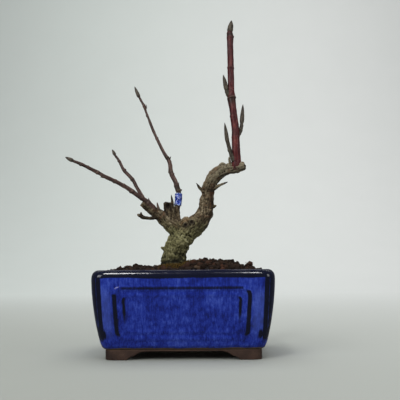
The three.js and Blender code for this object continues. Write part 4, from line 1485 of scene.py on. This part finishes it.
GLAZE, CLAY, BARK = blue_glaze(), bare_clay(), old_bark()
TWIG = twig_bark(
    "twig_bark", shade(38, 24, 22), shade(74, 52, 46), shade(116, 88, 78), shade(116, 108, 98), 0.35, 0.5
)
RED = twig_bark(
    "red_bark", shade(42, 12, 17), shade(86, 29, 33), shade(126, 62, 56), shade(118, 88, 88), 0.22, 0.4
)
BUD, SOIL, MOSS, FILM = bud_scale(), soil_granule(), moss_fibre(), blue_film()
WIRE, NET, STONE = training_wire(), black_netting(), gravel_stone()

finished(pot_body(), GLAZE, "blue_glaze", "pot")
finished(foot_ring(), CLAY, "bare_clay")
finished(soil_bed(), SOIL, "soil_granules", "soil")
finished(granules(), SOIL, "soil_granules")
cushion, fibres = moss()
finished(cushion, MOSS, "dry_moss", "moss_pad")
finished(fibres, MOSS, "dry_moss")
finished(old_wood(), BARK, "old_bark", "trunk")
finished(main_roots(), BARK, "old_bark")

# Each shoot's name, path, sides, pace, bark and slot.
for name, path, sides, pace, bark, slot in (
    ("middle_shoot", MIDDLE_SHOOT, 10, 2.4, TWIG, "twig_bark"),
    ("left_long_shoot", LEFT_LONG_SHOOT, 10, 2.4, TWIG, "twig_bark"),
    ("left_short_shoot", LEFT_SHORT_SHOOT, 10, 2.2, TWIG, "twig_bark"),
    ("leader_shoot", LEADER_SHOOT, 14, 2.4, RED, "red_bark"),
):
    finished(shoot(name, path, sides, pace), bark, slot, name)

# Each spur's name, stalk, bud from base to tip, bud radius, scales and seed.
for name, path, bud_from, radius, scales, seed in (
    (
        "upper_spur", [(39.5, -6, 214.5, 1.7), (37.6, -6.5, 217.6, 2), (36.4, -6.8, 221.6, 1.9)],
        ((36.6, -6.8, 220.6), (33.8, -8, 234.6)), 1.75, 7, 31,
    ),
    (
        "right_spur",
        [(45.4, -6, 180.6, 1.6), (47.4, -5.5, 184, 1.7), (48.8, -4.8, 189, 1.6), (49.4, -4.2, 194, 1.6)],
        ((49.3, -4.2, 192), (50.7, -2, 210)), 1.65, 7, 37,
    ),
    (
        "left_spur",
        [(41.8, -7, 158.6, 1.9), (39.4, -8.2, 165.5, 1.8), (37.6, -9.4, 172, 1.7), (36.6, -10.4, 176, 1.6)],
        ((36.7, -10.3, 174), (34.3, -13, 191.2)), 1.55, 7, 41,
    ),
):
    finished(spur(name, path, bud_from, radius, scales, seed), BUD, "bud_scale", "leader_" + name)

# Each bud's name, base, tip, radius, scales and seed, and the solid that it stands for.
for name, base, tip, radius, scales, seed, solid in (
    ("leader_bud", (40.2, -2, 274.8), (41.9, -2, 285.8), 2.3, 8, 43, "leader_terminal_bud"),
    ("middle_bud", (-42.4, 24.1, 225), (-46.9, 26, 235.8), 1.45, 6, 47, "middle_terminal_bud"),
    ("left_long_bud", (-90.6, -25, 157.4), (-97, -26, 160.5), 1.45, 6, 53, "left_long_terminal_bud"),
    ("left_short_bud", (-60.2, 0, 166.8), (-62.8, 1, 172), 1.25, 5, 59, "left_short_terminal_bud"),
):
    finished(bud(name, base, tip, radius, scales, seed), BUD, "bud_scale", solid)
finished(marker_tape(), FILM, "blue_film", "marker_tape")

for node, material in (
    ("drain_screen_left", NET),
    ("drain_screen_right", NET),
    ("screen_clip_left", WIRE),
    ("screen_clip_right", WIRE),
    ("tie_down_wire", WIRE),
    ("drainage_gravel", STONE),
):
    solid = bpy.data.objects[node]
    solid.data.materials.clear()
    solid.data.materials.append(material)
